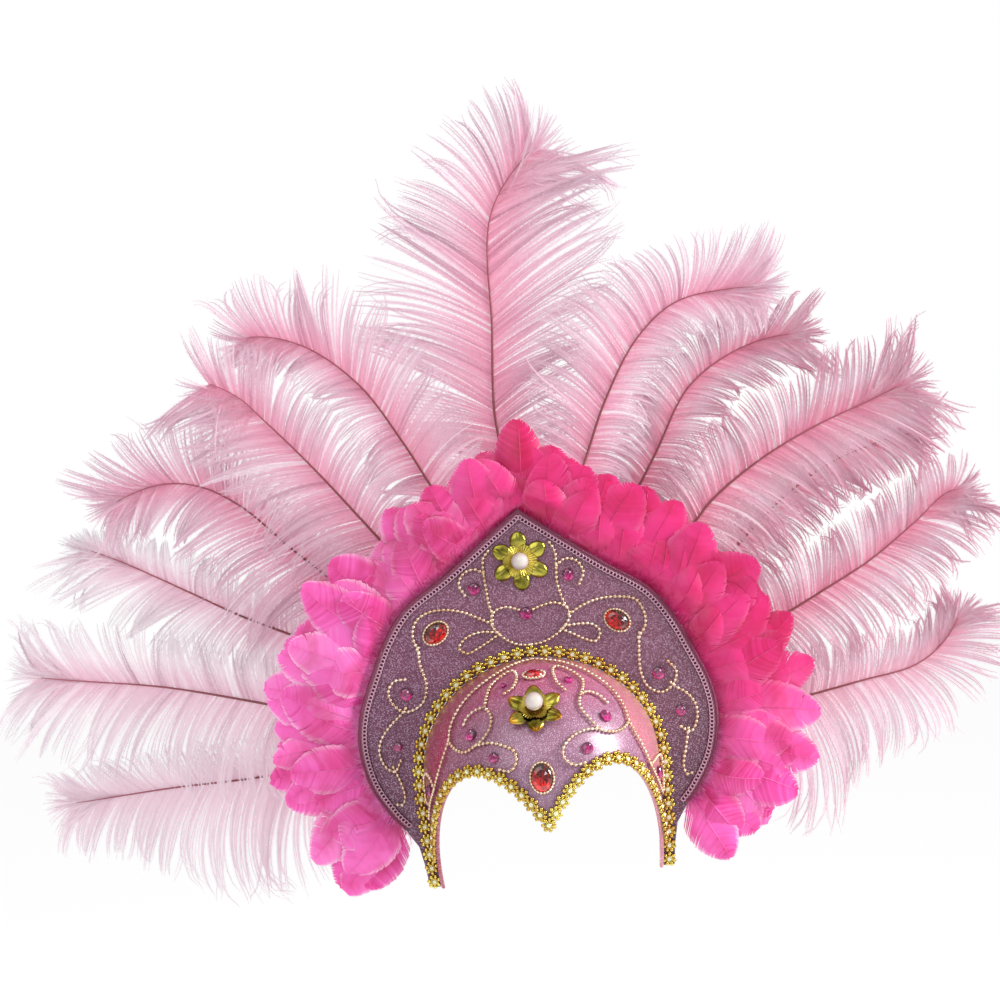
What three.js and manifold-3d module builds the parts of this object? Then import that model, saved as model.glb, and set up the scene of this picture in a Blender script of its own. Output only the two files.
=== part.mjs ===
// Carnival feather headdress: a glitter cap and crest plate with gold trims, bead scrolls and
// stones, a ruff of short feathers behind the plate, and a fan of long plumes behind the ruff.
// Millimetres, +Z up, X to the right as seen from the front, the front faces -Y.
// The origin is the crown seat: the underside of the cap's top, in the plane of the plate's front.
// The tables count heights from 3.6 mm above it, and the whole group is raised to match.

import * as THREE from 'three';
import { mergeVertices } from 'three/addons/utils/BufferGeometryUtils.js';
import Module from 'manifold-3d';

const wasm = await Module();
wasm.setup();

// Driving dimensions

const CLEAR = 0.3;            // gap between pieces that touch
const CAP_WALL = 2.5;
const CAP_HALF_WIDTH = 79.8;  // outside, at the temples
const CAP_DEPTH = 95;         // outside, from the plate's front to the brow
const CAP_HEIGHT = 70.9;      // outside, from the dome's foot to its top
const CAP_FOOT_Z = -72;       // heights in the tables below count from the brow chain's level
const SEAT_RISE = CAP_WALL - CAP_HEIGHT - CAP_FOOT_Z;
const TIP_Z = -150;           // lowest points of the cap's side lobes and the plate's legs
const TIP_TUCK = 0.05;        // share by which the head opening narrows down to the tips
const PLATE_THICK = 3;
const OPENING_GAP = 0.4;      // between the cap and the plate's arch opening
const GIMP_WIDTH = 7;
const GIMP_THICK = 2.6;
const ARCH_HALF_WIDTH = 84;   // centre line of the flower-link trim on the plate
const ARCH_HEIGHT = 79.2;
const ARCH_FOOT_Z = -76;
const ARCH_LINK_PITCH = 9.4;
const BROW_LINK_PITCH = 8.6;
const LINK_RADIUS = 5.6;      // petal tips; neighbours overlap and fuse
const LINK_WAIST = 3.6;
const LINK_HEIGHT = 2.2;
const LINK_SQUEEZE = 0.64;    // a link is narrower across the trim than along it
const BEAD = 2;               // diameter of the bead chain
const BAND_WIDTH = 7;         // tape that the ruff is sewn to
const BAND_THICK = 1.6;
const BAND_INSET = 9;
const QUILL_RADIUS = 1.6;
const QUILL_ROOT_Y = PLATE_THICK + CLEAR + QUILL_RADIUS;
const VANE_HALF_DEPTH = 4;
const LAYER_FIRST_Y = 21;
const LAYER_STEP = 11;
const FAN_NEAR = 110;         // the fan leans back from this radius
const FAN_FAR = 385;          // and is upright again at this one
const FAN_LEAN = 12;

// Colours, as sRGB, with roughness and metalness

const FINISH = {
  cap_glitter: { color: 0xc987b4, roughness: 0.45, metalness: 0.25 },
  plate_glitter: { color: 0x8c6491, roughness: 0.6, metalness: 0.2 },
  gimp_cord: { color: 0x7a3a58, roughness: 0.75, metalness: 0 },
  gold: { color: 0xbeb43c, roughness: 0.3, metalness: 1 },
  red_stone: { color: 0xc01018, roughness: 0.08, metalness: 0 },
  magenta_stone: { color: 0xc81478, roughness: 0.08, metalness: 0 },
  pearl: { color: 0xf6dcdc, roughness: 0.25, metalness: 0 },
  ruff_feather: { color: 0xff3c8c, roughness: 0.8, metalness: 0 },
  plume_feather: { color: 0xf4aac3, roughness: 0.9, metalness: 0 },
  elastic: { color: 0x6b4a62, roughness: 0.9, metalness: 0 },
};

// Right half of the plate's outline, from the apex down to the leg's tip
const PLATE_OUTLINE = [
  { x: 0, z: 101 },
  { x: 24, z: 83 },
  { x: 54, z: 60.5 },
  { x: 84, z: 40 },
  { x: 99, z: 20 },
  { x: 110, z: -3 },
  { x: 120, z: -28 },
  { x: 123, z: -50 },
  { x: 118, z: -77 },
  { x: 105, z: -100 },
  { x: 89, z: -120 },
  { x: 83.5, z: TIP_Z },
];

// Lower edge of the cap: angle round the head from the brow's middle, and height
const BROW_EDGE = [
  { angle: 0, z: -101 },
  { angle: 7, z: -87 },
  { angle: 14, z: -76 },
  { angle: 23, z: -68 },
  { angle: 33.5, z: -65 },
  { angle: 43.5, z: -69 },
  { angle: 54, z: -80 },
  { angle: 63.5, z: -95 },
  { angle: 75, z: -119 },
  { angle: 82, z: -138 },
  { angle: 90, z: -151 },
];

// Bead scrolls on the plate, each a list of [x, z]
const PLATE_SCROLLS = {
  left: {
    heart: [[-5.6, 32.4], [-15, 35], [-23, 32], [-25, 25], [-21.5, 18], [-14, 11.5], [-7, 8.6], [-0.7, 8]],
    stem: [[-22.5, 74], [-26.5, 69], [-27, 60], [-26.5, 50], [-25.5, 38], [-24, 32], [-24, 27]],
    curl: [[-27, 59], [-33, 62.5], [-41, 60], [-44.5, 53], [-41, 45.5]],
    shoulder: [[-24.5, 24.5], [-33, 29], [-43, 34], [-56, 37], [-68, 36], [-76, 31], [-79, 22], [-76, 9]],
    side: [[-76, 13], [-76, 2], [-73, -13], [-77, -25], [-89, -29.5], [-97, -23], [-99, -14], [-94, -8], [-87, -7.5]],
    lower: [[-88.5, -27], [-92, -31], [-100, -38], [-107, -47], [-109, -56], [-105, -66], [-99.5, -69], [-95, -62]],
    foot: [[-100.5, -66], [-96, -78], [-94.5, -87], [-96.5, -92], [-100, -91.5]],
    leaf: [[-22, 18.5], [-34, 19.5], [-44, 16], [-48.5, 10], [-43, 6], [-35, 9], [-20.5, 17]],
  },
  right: {
    heart: [[4.2, 31.8], [11, 34], [19, 35], [27, 31], [28.5, 25], [24, 18], [15, 11.5], [7, 8.6], [0.7, 8]],
    stem: [[19.5, 76], [22.5, 70], [22.5, 60], [22, 50], [24, 39], [27, 31]],
    curl: [[22.5, 60], [29, 64], [36.5, 62], [40.5, 54], [37, 46]],
    shoulder: [[28, 26], [37, 31], [48, 34.5], [61, 35], [74, 32], [79, 23], [79, 14], [73.5, 6]],
    side: [[74.5, 9], [73, -4], [73, -18], [77, -28], [86, -32.5], [94, -28], [97, -19], [92, -12]],
    lower: [[92.5, -26.5], [96, -30], [102, -34], [108, -43], [108, -53], [103, -61], [96.5, -57]],
    foot: [[101.5, -58.5], [98.5, -72], [96, -83], [97.5, -89.5], [101, -89]],
    leaf: [[24.5, 18.5], [34, 19], [43, 18], [48, 13], [45, 6.5], [37, 8.5], [30, 12.5], [22, 16.5]],
  },
};

// Bead scrolls on the cap, each a list of [angle round the head, z]
const CAP_SCROLLS = {
  left: {
    row: [[-1.4, -2.3], [-14, -2.6], [-28, -3.4], [-39, -6], [-47, -12], [-52, -19], [-54, -28], [-53.5, -38],
      [-51.5, -46], [-53, -54], [-57, -66], [-62.5, -77.5], [-70, -89], [-75, -99]],
    curl: [[-22, -19], [-17, -16], [-16, -11], [-22, -7.5], [-32, -8.5], [-37, -14], [-35, -20.5], [-33, -26]],
    drop: [[-33, -26], [-27, -31], [-26, -37], [-29, -44], [-33, -48], [-39, -52], [-45, -50.5], [-51.5, -46]],
    hook: [[-33, -26], [-39, -28], [-43, -32], [-43.5, -36]],
    loop: [[-33, -48], [-25, -46.5], [-18, -48.5], [-13, -52], [-12, -58], [-15, -63.5], [-20, -62.5]],
    side: [[-62.5, -77.5], [-65, -71.5], [-70, -68.5], [-76, -71], [-78, -79], [-76.5, -88], [-70, -89]],
  },
  right: {
    row: [[1.4, -2.3], [14, -2.6], [30, -3.4], [43, -5], [51, -9], [55, -16], [56, -25], [54, -36],
      [51.5, -44], [52.5, -52], [55.5, -62], [60, -74], [67, -86], [74, -97]],
    curl: [[20, -20], [17, -15], [19, -9.5], [27, -7], [36, -9], [39, -15], [34, -20], [28, -24]],
    drop: [[28, -24], [24.5, -30], [27, -38], [31, -45], [38, -48], [46, -47], [51.5, -44]],
    hook: [[28, -24], [35, -23], [41, -26], [43.5, -31]],
    loop: [[31, -45], [23, -44], [15, -47], [10, -53], [10, -59], [14, -63.5], [19, -63]],
    side: [[60, -74], [66, -72], [72, -71], [79, -74], [82, -82], [79.5, -91], [74, -97]],
  },
};

// Stones on the plate: centre, width, height, tilt in degrees; rim is the width of a beaded rim
const PLATE_STONES = [
  { name: 'stone_red_upper_left', x: -63.3, z: 21.8, w: 17, h: 12.5, tilt: 35, rim: 1.4 },
  { name: 'stone_red_upper_right', x: 60.5, z: 18.9, w: 17, h: 12.5, tilt: -35, rim: 1.4 },
  { name: 'stone_plate_1', x: -34.4, z: 49.4, w: 8.5, h: 8.5, tilt: 0, rim: 0 },
  { name: 'stone_plate_2', x: 30.4, z: 53, w: 8.5, h: 8.5, tilt: 0, rim: 0 },
  { name: 'stone_plate_3', x: -0.6, z: 29.6, w: 8.5, h: 8.5, tilt: 0, rim: 0 },
  { name: 'stone_plate_4', x: -87.1, z: -17.6, w: 9, h: 9, tilt: 0, rim: 0 },
  { name: 'stone_plate_5', x: 85, z: -19.4, w: 9, h: 9, tilt: 0, rim: 0 },
  { name: 'stone_plate_6', x: -96, z: -52.5, w: 6.3, h: 6.3, tilt: 0, rim: 0 },
  { name: 'stone_plate_7', x: 97.6, z: -46.2, w: 7.3, h: 7.3, tilt: 0, rim: 0 },
];

// Stones on the cap: angle round the head, height, width, height of the stone, rim as above
const CAP_STONES = [
  { name: 'stone_red_brow_top', angle: 0, z: -9.5, w: 13, h: 9, rim: 1.4 },
  { name: 'stone_red_brow_point', angle: -1, z: -69, w: 13.5, h: 18, rim: 1.4 },
  { name: 'stone_cap_1', angle: -26, z: -14, w: 4, h: 4, rim: 0 },
  { name: 'stone_cap_2', angle: 28, z: -14.5, w: 6, h: 6, rim: 0 },
  { name: 'stone_cap_3', angle: -37.5, z: -41.5, w: 8.5, h: 8.5, rim: 0 },
  { name: 'stone_cap_4', angle: 38, z: -38, w: 8.5, h: 8.5, rim: 0 },
  { name: 'stone_cap_5', angle: -23, z: -55, w: 7, h: 7, rim: 0 },
  { name: 'stone_cap_6', angle: 22, z: -54.5, w: 7.6, h: 7.6, rim: 0 },
  { name: 'stone_cap_7', angle: -70, z: -79.5, w: 7.5, h: 8.5, rim: 0 },
  { name: 'stone_cap_8', angle: 73, z: -82.5, w: 7.5, h: 8.5, rim: 0 },
];

// Plumes: root on the plate's back, spine to the tip as [x, z], depth layer counted from the front,
// and how far the barbs reach to the left and right of the spine at even steps from ruff to tip
const PLUMES = [
  { name: 'plume_1', layer: 2, root: [-97, -63], spine: [[-176, -70], [-214, -72], [-262, -73], [-328, -76], [-350, -75]],
    left: [54, 76, 72, 68, 52, 30, 8], right: [20, 26, 27, 27, 26, 18, 8] },
  { name: 'plume_2', layer: 1, root: [-97, -44], spine: [[-170, -24], [-217, -11], [-261, 0], [-329, 12], [-366, 20]],
    left: [34, 54, 62, 64, 66, 46, 14], right: [24, 30, 34, 38, 40, 32, 10] },
  { name: 'plume_3', layer: 2, root: [-92, -11], spine: [[-158, 23], [-202, 44], [-235, 63], [-288, 93], [-322, 108]],
    left: [28, 40, 45, 46, 46, 36, 8], right: [24, 30, 30, 28, 22, 12, 5] },
  { name: 'plume_4', layer: 1, root: [-85, 9], spine: [[-136, 66], [-159, 87], [-193, 121], [-222, 138], [-251, 141], [-300, 124]],
    left: [34, 55, 56, 50, 40, 28, 10], right: [20, 26, 28, 38, 40, 28, 9] },
  { name: 'plume_5', layer: 0, root: [-57, 34], spine: [[-93, 84], [-138, 142], [-168, 177], [-188, 198], [-213, 209], [-221, 198]],
    left: [28, 52, 60, 56, 54, 50, 32], right: [22, 30, 33, 36, 36, 24, 6] },
  { name: 'plume_6', layer: 1, root: [-35, 54], spine: [[-58, 122], [-74, 153], [-103, 199], [-141, 230], [-177, 238], [-198, 227]],
    left: [24, 30, 30, 28, 26, 20, 8], right: [30, 38, 44, 50, 46, 30, 8] },
  { name: 'plume_7', layer: 2, root: [-3, 70], spine: [[-7, 144], [-9, 172], [-5, 229], [2, 310], [33, 350], [58, 366]],
    left: [42, 70, 82, 84, 66, 46, 14], right: [38, 54, 68, 84, 80, 66, 12] },
  { name: 'plume_8', layer: 1, root: [22, 59], spine: [[54, 137], [69, 170], [95, 211], [124, 234], [161, 240], [205, 238]],
    left: [30, 44, 54, 60, 44, 32, 8], right: [24, 28, 29, 29, 30, 28, 10] },
  { name: 'plume_9', layer: 2, root: [48, 45], spine: [[80, 97], [102, 131], [128, 173], [154, 192], [184, 203], [229, 206]],
    left: [22, 26, 28, 28, 26, 20, 8], right: [26, 32, 33, 32, 32, 30, 10] },
  { name: 'plume_10', layer: 0, root: [66, 25], spine: [[118, 75], [136, 94], [173, 119], [215, 139], [254, 153], [297, 170]],
    left: [26, 34, 37, 39, 40, 34, 8], right: [32, 42, 48, 52, 56, 44, 14] },
  { name: 'plume_11', layer: 3, root: [87, 7], spine: [[150, 55], [175, 78], [202, 98], [230, 113], [266, 124], [306, 130]],
    left: [16, 20, 22, 22, 22, 18, 6], right: [24, 30, 32, 32, 30, 22, 8] },
  { name: 'plume_12', layer: 1, root: [99, -26], spine: [[170, 4], [209, 23], [244, 41], [277, 64], [304, 84], [330, 82]],
    left: [28, 32, 33, 32, 28, 20, 6], right: [34, 44, 48, 48, 44, 36, 10] },
  { name: 'plume_13', layer: 2, root: [104, -62], spine: [[185, -52], [232, -44], [272, -36], [294, -20], [313, 10]],
    left: [26, 30, 31, 30, 26, 20, 6], right: [58, 70, 62, 50, 52, 34, 8] },
];
const PLUME_LOCKS = 6;        // locks along each side of a plume

// Ruff: segments from one leg over the apex to the other, with the reach of their feathers
// and how far the outermost one turns down
const RUFF = [
  { name: 'ruff_1', reach: 56, turn: -34 },
  { name: 'ruff_2', reach: 66, turn: -4 },
  { name: 'ruff_3', reach: 58, turn: 0 },
  { name: 'ruff_4', reach: 54, turn: 0 },
  { name: 'ruff_5', reach: 52, turn: 0 },
  { name: 'ruff_6', reach: 52, turn: 0 },
  { name: 'ruff_7', reach: 50, turn: 0 },
  { name: 'ruff_8', reach: 54, turn: 0 },
  { name: 'ruff_9', reach: 60, turn: 0 },
  { name: 'ruff_10', reach: 64, turn: -6 },
  { name: 'ruff_11', reach: 54, turn: -29 },
];
const RUFF_FEATHERS = 3;      // feathers in a segment
const RUFF_HALF_WIDTH = 19;
const RUFF_HALF_THICK = 1.2;
const RUFF_FOOT_Y = PLATE_THICK + CLEAR + BAND_THICK / 2 + 0.4;
const RUFF_BEHIND_Y = 7.8;    // plane of the segments that lie behind their neighbours
const RUFF_FRONT_TIP_Y = -7;  // the tips curl forward
const RUFF_BEHIND_TIP_Y = 5;
const RUFF_BROAD_FROM = 0.18; // shares of a feather's length where it is broad
const RUFF_BROAD_TO = 0.76;

// Closed meshes and booleans

function rawGeometry(positions, indices) {
  const geometry = new THREE.BufferGeometry();
  geometry.setAttribute('position', new THREE.Float32BufferAttribute(positions, 3));
  geometry.setIndex(indices);
  return geometry;
}

function welded(geometry) {
  const bare = geometry.clone();
  bare.deleteAttribute('normal');
  bare.deleteAttribute('uv');
  const merged = mergeVertices(bare, 1e-3);
  const index = merged.index.array;
  const kept = [];
  for (let i = 0; i < index.length; i += 3) {
    const [a, b, c] = [index[i], index[i + 1], index[i + 2]];
    if (a !== b && b !== c && c !== a) kept.push(a, b, c);
  }
  merged.setIndex(kept);
  return merged;
}

function toSolid(geometry) {
  const mesh = welded(geometry);
  return new wasm.Manifold(new wasm.Mesh({
    numProp: 3,
    vertProperties: Float32Array.from(mesh.attributes.position.array),
    triVerts: Uint32Array.from(mesh.index.array),
  }));
}

function toGeometry(solid) {
  const mesh = solid.getMesh();
  return rawGeometry(Array.from(mesh.vertProperties), Array.from(mesh.triVerts));
}

function fuse(geometries) {
  return toGeometry(geometries.map(toSolid).reduce((whole, next) => whole.add(next)));
}

// Sweeps rings of equal length into one closed body; each end is a point or a flat fan
function loft(rings) {
  const positions = [];
  const starts = [];
  for (const ring of rings) {
    starts.push(positions.length / 3);
    for (const p of ring) positions.push(p.x, p.y, p.z);
  }
  const indices = [];
  const sides = Math.max(...rings.map((ring) => ring.length));
  for (let r = 0; r + 1 < rings.length; r += 1) {
    for (let k = 0; k < sides; k += 1) {
      const next = (k + 1) % sides;
      const a = starts[r] + (k % rings[r].length);
      const b = starts[r] + (next % rings[r].length);
      const c = starts[r + 1] + (k % rings[r + 1].length);
      const d = starts[r + 1] + (next % rings[r + 1].length);
      indices.push(a, b, d, a, d, c);
    }
  }
  return outward(welded(rawGeometry(positions, indices)));
}

// Turns every face round if the closed mesh encloses a negative volume
function outward(geometry) {
  const index = geometry.index.array;
  const corner = (i) => new THREE.Vector3().fromBufferAttribute(geometry.attributes.position, index[i]);
  let volume = 0;
  for (let i = 0; i < index.length; i += 3) volume += corner(i).dot(corner(i + 1).cross(corner(i + 2)));
  if (volume < 0) {
    for (let i = 0; i < index.length; i += 3) [index[i], index[i + 1]] = [index[i + 1], index[i]];
  }
  return geometry;
}

function named(name, geometry, finish) {
  const material = new THREE.MeshStandardMaterial(FINISH[finish]);
  geometry.computeVertexNormals();
  const mesh = new THREE.Mesh(geometry, material);
  mesh.name = name;
  return mesh;
}

// The cap's surface

// Share of the full girth at a height: an ellipse over the foot, a slight tuck down to the tips
function girthAt(z) {
  if (z >= CAP_FOOT_Z) return Math.sqrt(Math.max(0, 1 - ((z - CAP_FOOT_Z) / CAP_HEIGHT) ** 2));
  return 1 - TIP_TUCK * ((z - CAP_FOOT_Z) / (TIP_Z - CAP_FOOT_Z)) ** 2;
}

// Point on the cap's outside at an angle round the head and a height, raised along the normal
function capPoint(angleDeg, z, lift = 0) {
  const angle = THREE.MathUtils.degToRad(angleDeg);
  const shrink = girthAt(z);
  const x = CAP_HALF_WIDTH * Math.sin(angle) * shrink;
  const y = -CAP_DEPTH * Math.cos(angle) * shrink;
  const normal = capNormal(x, y, z);
  return new THREE.Vector3(x, y, z).addScaledVector(normal, lift);
}

function capNormal(x, y, z) {
  const up = Math.max(0, z - CAP_FOOT_Z) / CAP_HEIGHT ** 2;
  return new THREE.Vector3(x / CAP_HALF_WIDTH ** 2, y / CAP_DEPTH ** 2, up).normalize();
}

function browHeight(angleDeg) {
  const at = Math.abs(angleDeg);
  for (let i = 1; i < BROW_EDGE.length; i += 1) {
    const low = BROW_EDGE[i - 1];
    const high = BROW_EDGE[i];
    if (at <= high.angle) {
      return THREE.MathUtils.mapLinear(at, low.angle, high.angle, low.z, high.z);
    }
  }
  return BROW_EDGE[BROW_EDGE.length - 1].z;
}

// Half dome on a short upright wall, cut along the brow edge and open behind and below
function capShell() {
  const rows = 9;
  const angles = [
    ...BROW_EDGE.slice(1).map((row) => -row.angle).reverse(),
    ...BROW_EDGE.map((row) => row.angle),
  ];
  const column = (angle, inset, back) => {
    const edge = (browHeight(angle) - CAP_FOOT_Z) / CAP_HEIGHT;
    const start = edge > 0 ? Math.asin(edge) : edge;
    const turn = THREE.MathUtils.degToRad(angle);
    return Array.from({ length: rows + 1 }, (_, j) => {
      const climb = start + (Math.PI / 2 - start) * (j / rows);
      const lift = climb > 0 ? Math.sin(climb) : climb;
      const edgeZ = CAP_FOOT_Z + CAP_HEIGHT * lift;
      const round = girthAt(edgeZ);
      return new THREE.Vector3(
        (CAP_HALF_WIDTH - inset) * Math.sin(turn) * round,
        -(CAP_DEPTH - inset) * Math.cos(turn) * round + back,
        climb > 0 ? CAP_FOOT_Z + (CAP_HEIGHT - inset) * lift : edgeZ,
      );
    });
  };
  const skin = (inset) => [
    column(-90, inset, PLATE_THICK),
    ...angles.map((angle) => column(angle, inset, 0)),
    column(90, inset, PLATE_THICK),
  ];
  return shellBetween(skin(0), skin(CAP_WALL));
}

// Closes the space between two grids of points, open rows meeting at a shared top
function shellBetween(outer, inner) {
  const columns = outer.length;
  const rows = outer[0].length;
  const positions = [];
  for (const grid of [outer, inner]) {
    for (const column of grid) {
      for (const p of column) positions.push(p.x, p.y, p.z);
    }
  }
  const at = (side, i, j) => side * columns * rows + i * rows + j;
  const indices = [];
  const quad = (a, b, c, d) => indices.push(a, b, c, a, c, d);
  for (let i = 0; i + 1 < columns; i += 1) {
    for (let j = 0; j + 1 < rows; j += 1) {
      quad(at(0, i, j), at(0, i + 1, j), at(0, i + 1, j + 1), at(0, i, j + 1));
      quad(at(1, i, j), at(1, i, j + 1), at(1, i + 1, j + 1), at(1, i + 1, j));
    }
    quad(at(0, i, 0), at(1, i, 0), at(1, i + 1, 0), at(0, i + 1, 0));
  }
  const last = columns - 1;
  for (let j = 0; j + 1 < rows; j += 1) {
    quad(at(0, 0, j), at(0, 0, j + 1), at(1, 0, j + 1), at(1, 0, j));
    quad(at(0, last, j), at(1, last, j), at(1, last, j + 1), at(0, last, j + 1));
  }
  return welded(rawGeometry(positions, indices));
}

// The crest plate and its edge

// Smooth curve through the right half of the outline
function outlineCurve() {
  return new THREE.SplineCurve(PLATE_OUTLINE.map((row) => new THREE.Vector2(row.x, row.z)));
}

function plateShape() {
  const half = outlineCurve().getSpacedPoints(22);
  const shape = new THREE.Shape();
  shape.moveTo(half[0].x, half[0].y);
  for (const p of half.slice(1)) shape.lineTo(p.x, p.y);
  const inside = CAP_HALF_WIDTH + OPENING_GAP;
  const top = CAP_HEIGHT + OPENING_GAP;
  const legs = [TIP_Z, (TIP_Z + CAP_FOOT_Z) / 2];
  for (const z of legs) shape.lineTo(inside * girthAt(z), z);
  const steps = 22;
  for (let i = 0; i <= steps; i += 1) {
    const turn = (Math.PI * i) / steps;
    shape.lineTo(inside * Math.cos(turn), CAP_FOOT_Z + top * Math.sin(turn));
  }
  for (const z of legs.reverse()) shape.lineTo(-inside * girthAt(z), z);
  for (const p of half.slice(1).reverse()) shape.lineTo(-p.x, p.y);
  return shape;
}

// Turns a flat extrusion so that it stands in the XZ plane with its back at a given depth
function standing(geometry, backY) {
  geometry.rotateX(Math.PI / 2);
  geometry.translate(0, backY, 0);
  return geometry;
}

function platePiece() {
  const flat = new THREE.ExtrudeGeometry(plateShape(), { depth: PLATE_THICK, bevelEnabled: false });
  return standing(flat, PLATE_THICK);
}

// Rounded section of a trim or tube, fitted to its full width and its thickness off the surface
function ovalShape(width, thickness, sides) {
  const turns = Array.from({ length: sides }, (_, i) => (2 * Math.PI * (i + 0.5)) / sides);
  const tall = (2 * Math.max(...turns.map(Math.cos))) / thickness;
  const wide = (2 * Math.max(...turns.map(Math.sin))) / width;
  return new THREE.Shape(turns.map((turn) => new THREE.Vector2(Math.cos(turn) / tall, Math.sin(turn) / wide)));
}

function tubeAlong(curve, shape, steps) {
  return new THREE.ExtrudeGeometry(shape, { steps, bevelEnabled: false, extrudePath: curve });
}

// Braided cord on the plate's face, just inside its outline from leg to leg
function gimpPiece() {
  const inset = GIMP_WIDTH / 2;
  const half = outlineCurve();
  const points = [];
  const stops = 12;
  const end = 0.86;
  const steps = 34;
  const sides = 6;
  for (let i = 0; i <= stops; i += 1) {
    const u = (end * i) / stops;
    const p = half.getPointAt(u);
    const t = half.getTangentAt(u);
    const inward = i === 0 ? new THREE.Vector2(0, -1.15) : new THREE.Vector2(t.y, -t.x);
    points.push(p.clone().addScaledVector(inward, inset));
  }
  const y = -CLEAR - GIMP_THICK / 2;
  const right = points.map((p) => new THREE.Vector3(p.x, y, p.y));
  const left = points.slice(1).map((p) => new THREE.Vector3(-p.x, y, p.y)).reverse();
  const curve = new THREE.CatmullRomCurve3([...left, ...right], false, 'centripetal');
  return tubeAlong(curve, ovalShape(GIMP_WIDTH, GIMP_THICK, sides), steps);
}

// Trims of flower links

// Four-petal link lying flat: a low pyramid over a star, its back at z = 0
function linkGeometry() {
  const star = [];
  const petals = 4;
  for (let i = 0; i < 2 * petals; i += 1) {
    const turn = (Math.PI * i) / petals;
    const radius = i % 2 === 0 ? LINK_RADIUS : LINK_WAIST;
    star.push(new THREE.Vector3(radius * Math.cos(turn), LINK_SQUEEZE * radius * Math.sin(turn), 0));
  }
  return loft([[new THREE.Vector3(0, 0, 0)], star, [new THREE.Vector3(0, 0, LINK_HEIGHT)]]);
}

// Frame with x along the trim and z along the normal, at a point
function frameAt(point, along, normal) {
  const z = normal.clone().normalize();
  const y = z.clone().cross(along).normalize();
  const x = y.clone().cross(z);
  return new THREE.Matrix4().makeBasis(x, y, z).setPosition(point);
}

function linkTrim(curve, pitch, normalAt, lift) {
  const count = 2 * Math.round(curve.getLength() / (2 * pitch));
  const links = [];
  for (let i = 0; i <= count; i += 1) {
    const u = i / count;
    const point = curve.getPointAt(u);
    const normal = normalAt(point);
    const seat = point.clone().addScaledVector(normal, lift);
    links.push(linkGeometry().applyMatrix4(frameAt(seat, curve.getTangentAt(u), normal)));
  }
  return fuse(links);
}

// Centre line over the plate's arch opening, from leg tip to leg tip
function archCurve() {
  const legs = [-146, -125, -100];
  const points = legs.map((z) => new THREE.Vector3(-ARCH_HALF_WIDTH * girthAt(z), 0, z));
  const steps = 16;
  for (let i = 0; i <= steps; i += 1) {
    const turn = Math.PI * (1 - i / steps);
    const x = ARCH_HALF_WIDTH * Math.cos(turn);
    points.push(new THREE.Vector3(x, 0, ARCH_FOOT_Z + ARCH_HEIGHT * Math.sin(turn)));
  }
  for (const z of legs.reverse()) points.push(new THREE.Vector3(ARCH_HALF_WIDTH * girthAt(z), 0, z));
  return new THREE.CatmullRomCurve3(points, false, 'centripetal');
}

// Centre line along the cap's lower edge, a little above the edge itself
function browCurve() {
  const above = 2;
  const ends = 78;
  const rows = BROW_EDGE.filter((row) => row.angle < ends);
  const side = (sign) => rows.map((row) => capPoint(sign * row.angle, row.z + above));
  const right = [...side(1), capPoint(ends, browHeight(ends) + above)];
  const left = [...side(-1), capPoint(-ends, browHeight(ends) + above)];
  return new THREE.CatmullRomCurve3([...left.slice(1).reverse(), ...right], false, 'centripetal');
}

// Bead scrolls

const SCROLL_SIDES = 6;
const SCROLL_STEP_TURN = 45;  // degrees of bend in one step of a tube
const PLATE_SCROLL_STEP = 26; // longest step on the flat plate
const CAP_SCROLL_STEP = 14;   // longest step on the round cap

function totalTurn(curve) {
  const stops = 60;
  let sum = 0;
  for (let i = 1; i <= stops; i += 1) {
    const before = curve.getTangentAt((i - 1) / stops);
    sum += THREE.MathUtils.radToDeg(before.angleTo(curve.getTangentAt(i / stops)));
  }
  return sum;
}

function scrollTube(points, longest) {
  const curve = new THREE.CatmullRomCurve3(points, false, 'centripetal');
  const byTurn = totalTurn(curve) / SCROLL_STEP_TURN;
  const byLength = curve.getLength() / longest;
  const steps = Math.max(3, Math.ceil(Math.max(byTurn, byLength)));
  return tubeAlong(curve, ovalShape(BEAD, BEAD, SCROLL_SIDES), steps);
}

function plateScrolls(strands) {
  const y = -CLEAR - BEAD / 2;
  const lines = Object.values(strands).map((strand) => strand.map(([x, z]) => new THREE.Vector3(x, y, z)));
  return fuse(lines.map((line) => scrollTube(line, PLATE_SCROLL_STEP)));
}

function capScrolls(strands) {
  const lift = 2 * CLEAR + BEAD / 2;
  const lines = Object.values(strands).map((strand) => strand.map(([angle, z]) => capPoint(angle, z, lift)));
  return fuse(lines.map((line) => scrollTube(line, CAP_SCROLL_STEP)));
}

// Stones

// Cut stone with a table, lying flat with its back at z = 0; a rim is fused round it
function stoneGeometry(width, height, rim) {
  const sides = rim > 0 ? 10 : 8;
  const radius = width / 2;
  const girdle = 1.4;
  const table = 0.6 * radius;
  const crown = girdle + 0.12 * width;
  const outline = [new THREE.Vector2(0, 0)];
  if (rim > 0) {
    outline.push(new THREE.Vector2(radius + rim, 0));
    outline.push(new THREE.Vector2(radius + rim, girdle));
    outline.push(new THREE.Vector2(radius, girdle));
  } else {
    outline.push(new THREE.Vector2(radius, 0));
  }
  outline.push(new THREE.Vector2(table, crown));
  outline.push(new THREE.Vector2(0, crown));
  const lathe = new THREE.LatheGeometry(outline, sides);
  lathe.rotateX(Math.PI / 2);
  lathe.scale(1, (height + 2 * rim) / (width + 2 * rim), 1);
  return welded(lathe);
}

function plateStone(stone) {
  const geometry = stoneGeometry(stone.w, stone.h, stone.rim);
  geometry.rotateZ(THREE.MathUtils.degToRad(stone.tilt));
  const along = new THREE.Vector3(1, 0, 0);
  const seat = new THREE.Vector3(stone.x, -CLEAR, stone.z);
  geometry.applyMatrix4(frameAt(seat, along, new THREE.Vector3(0, -1, 0)));
  return geometry;
}

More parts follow.
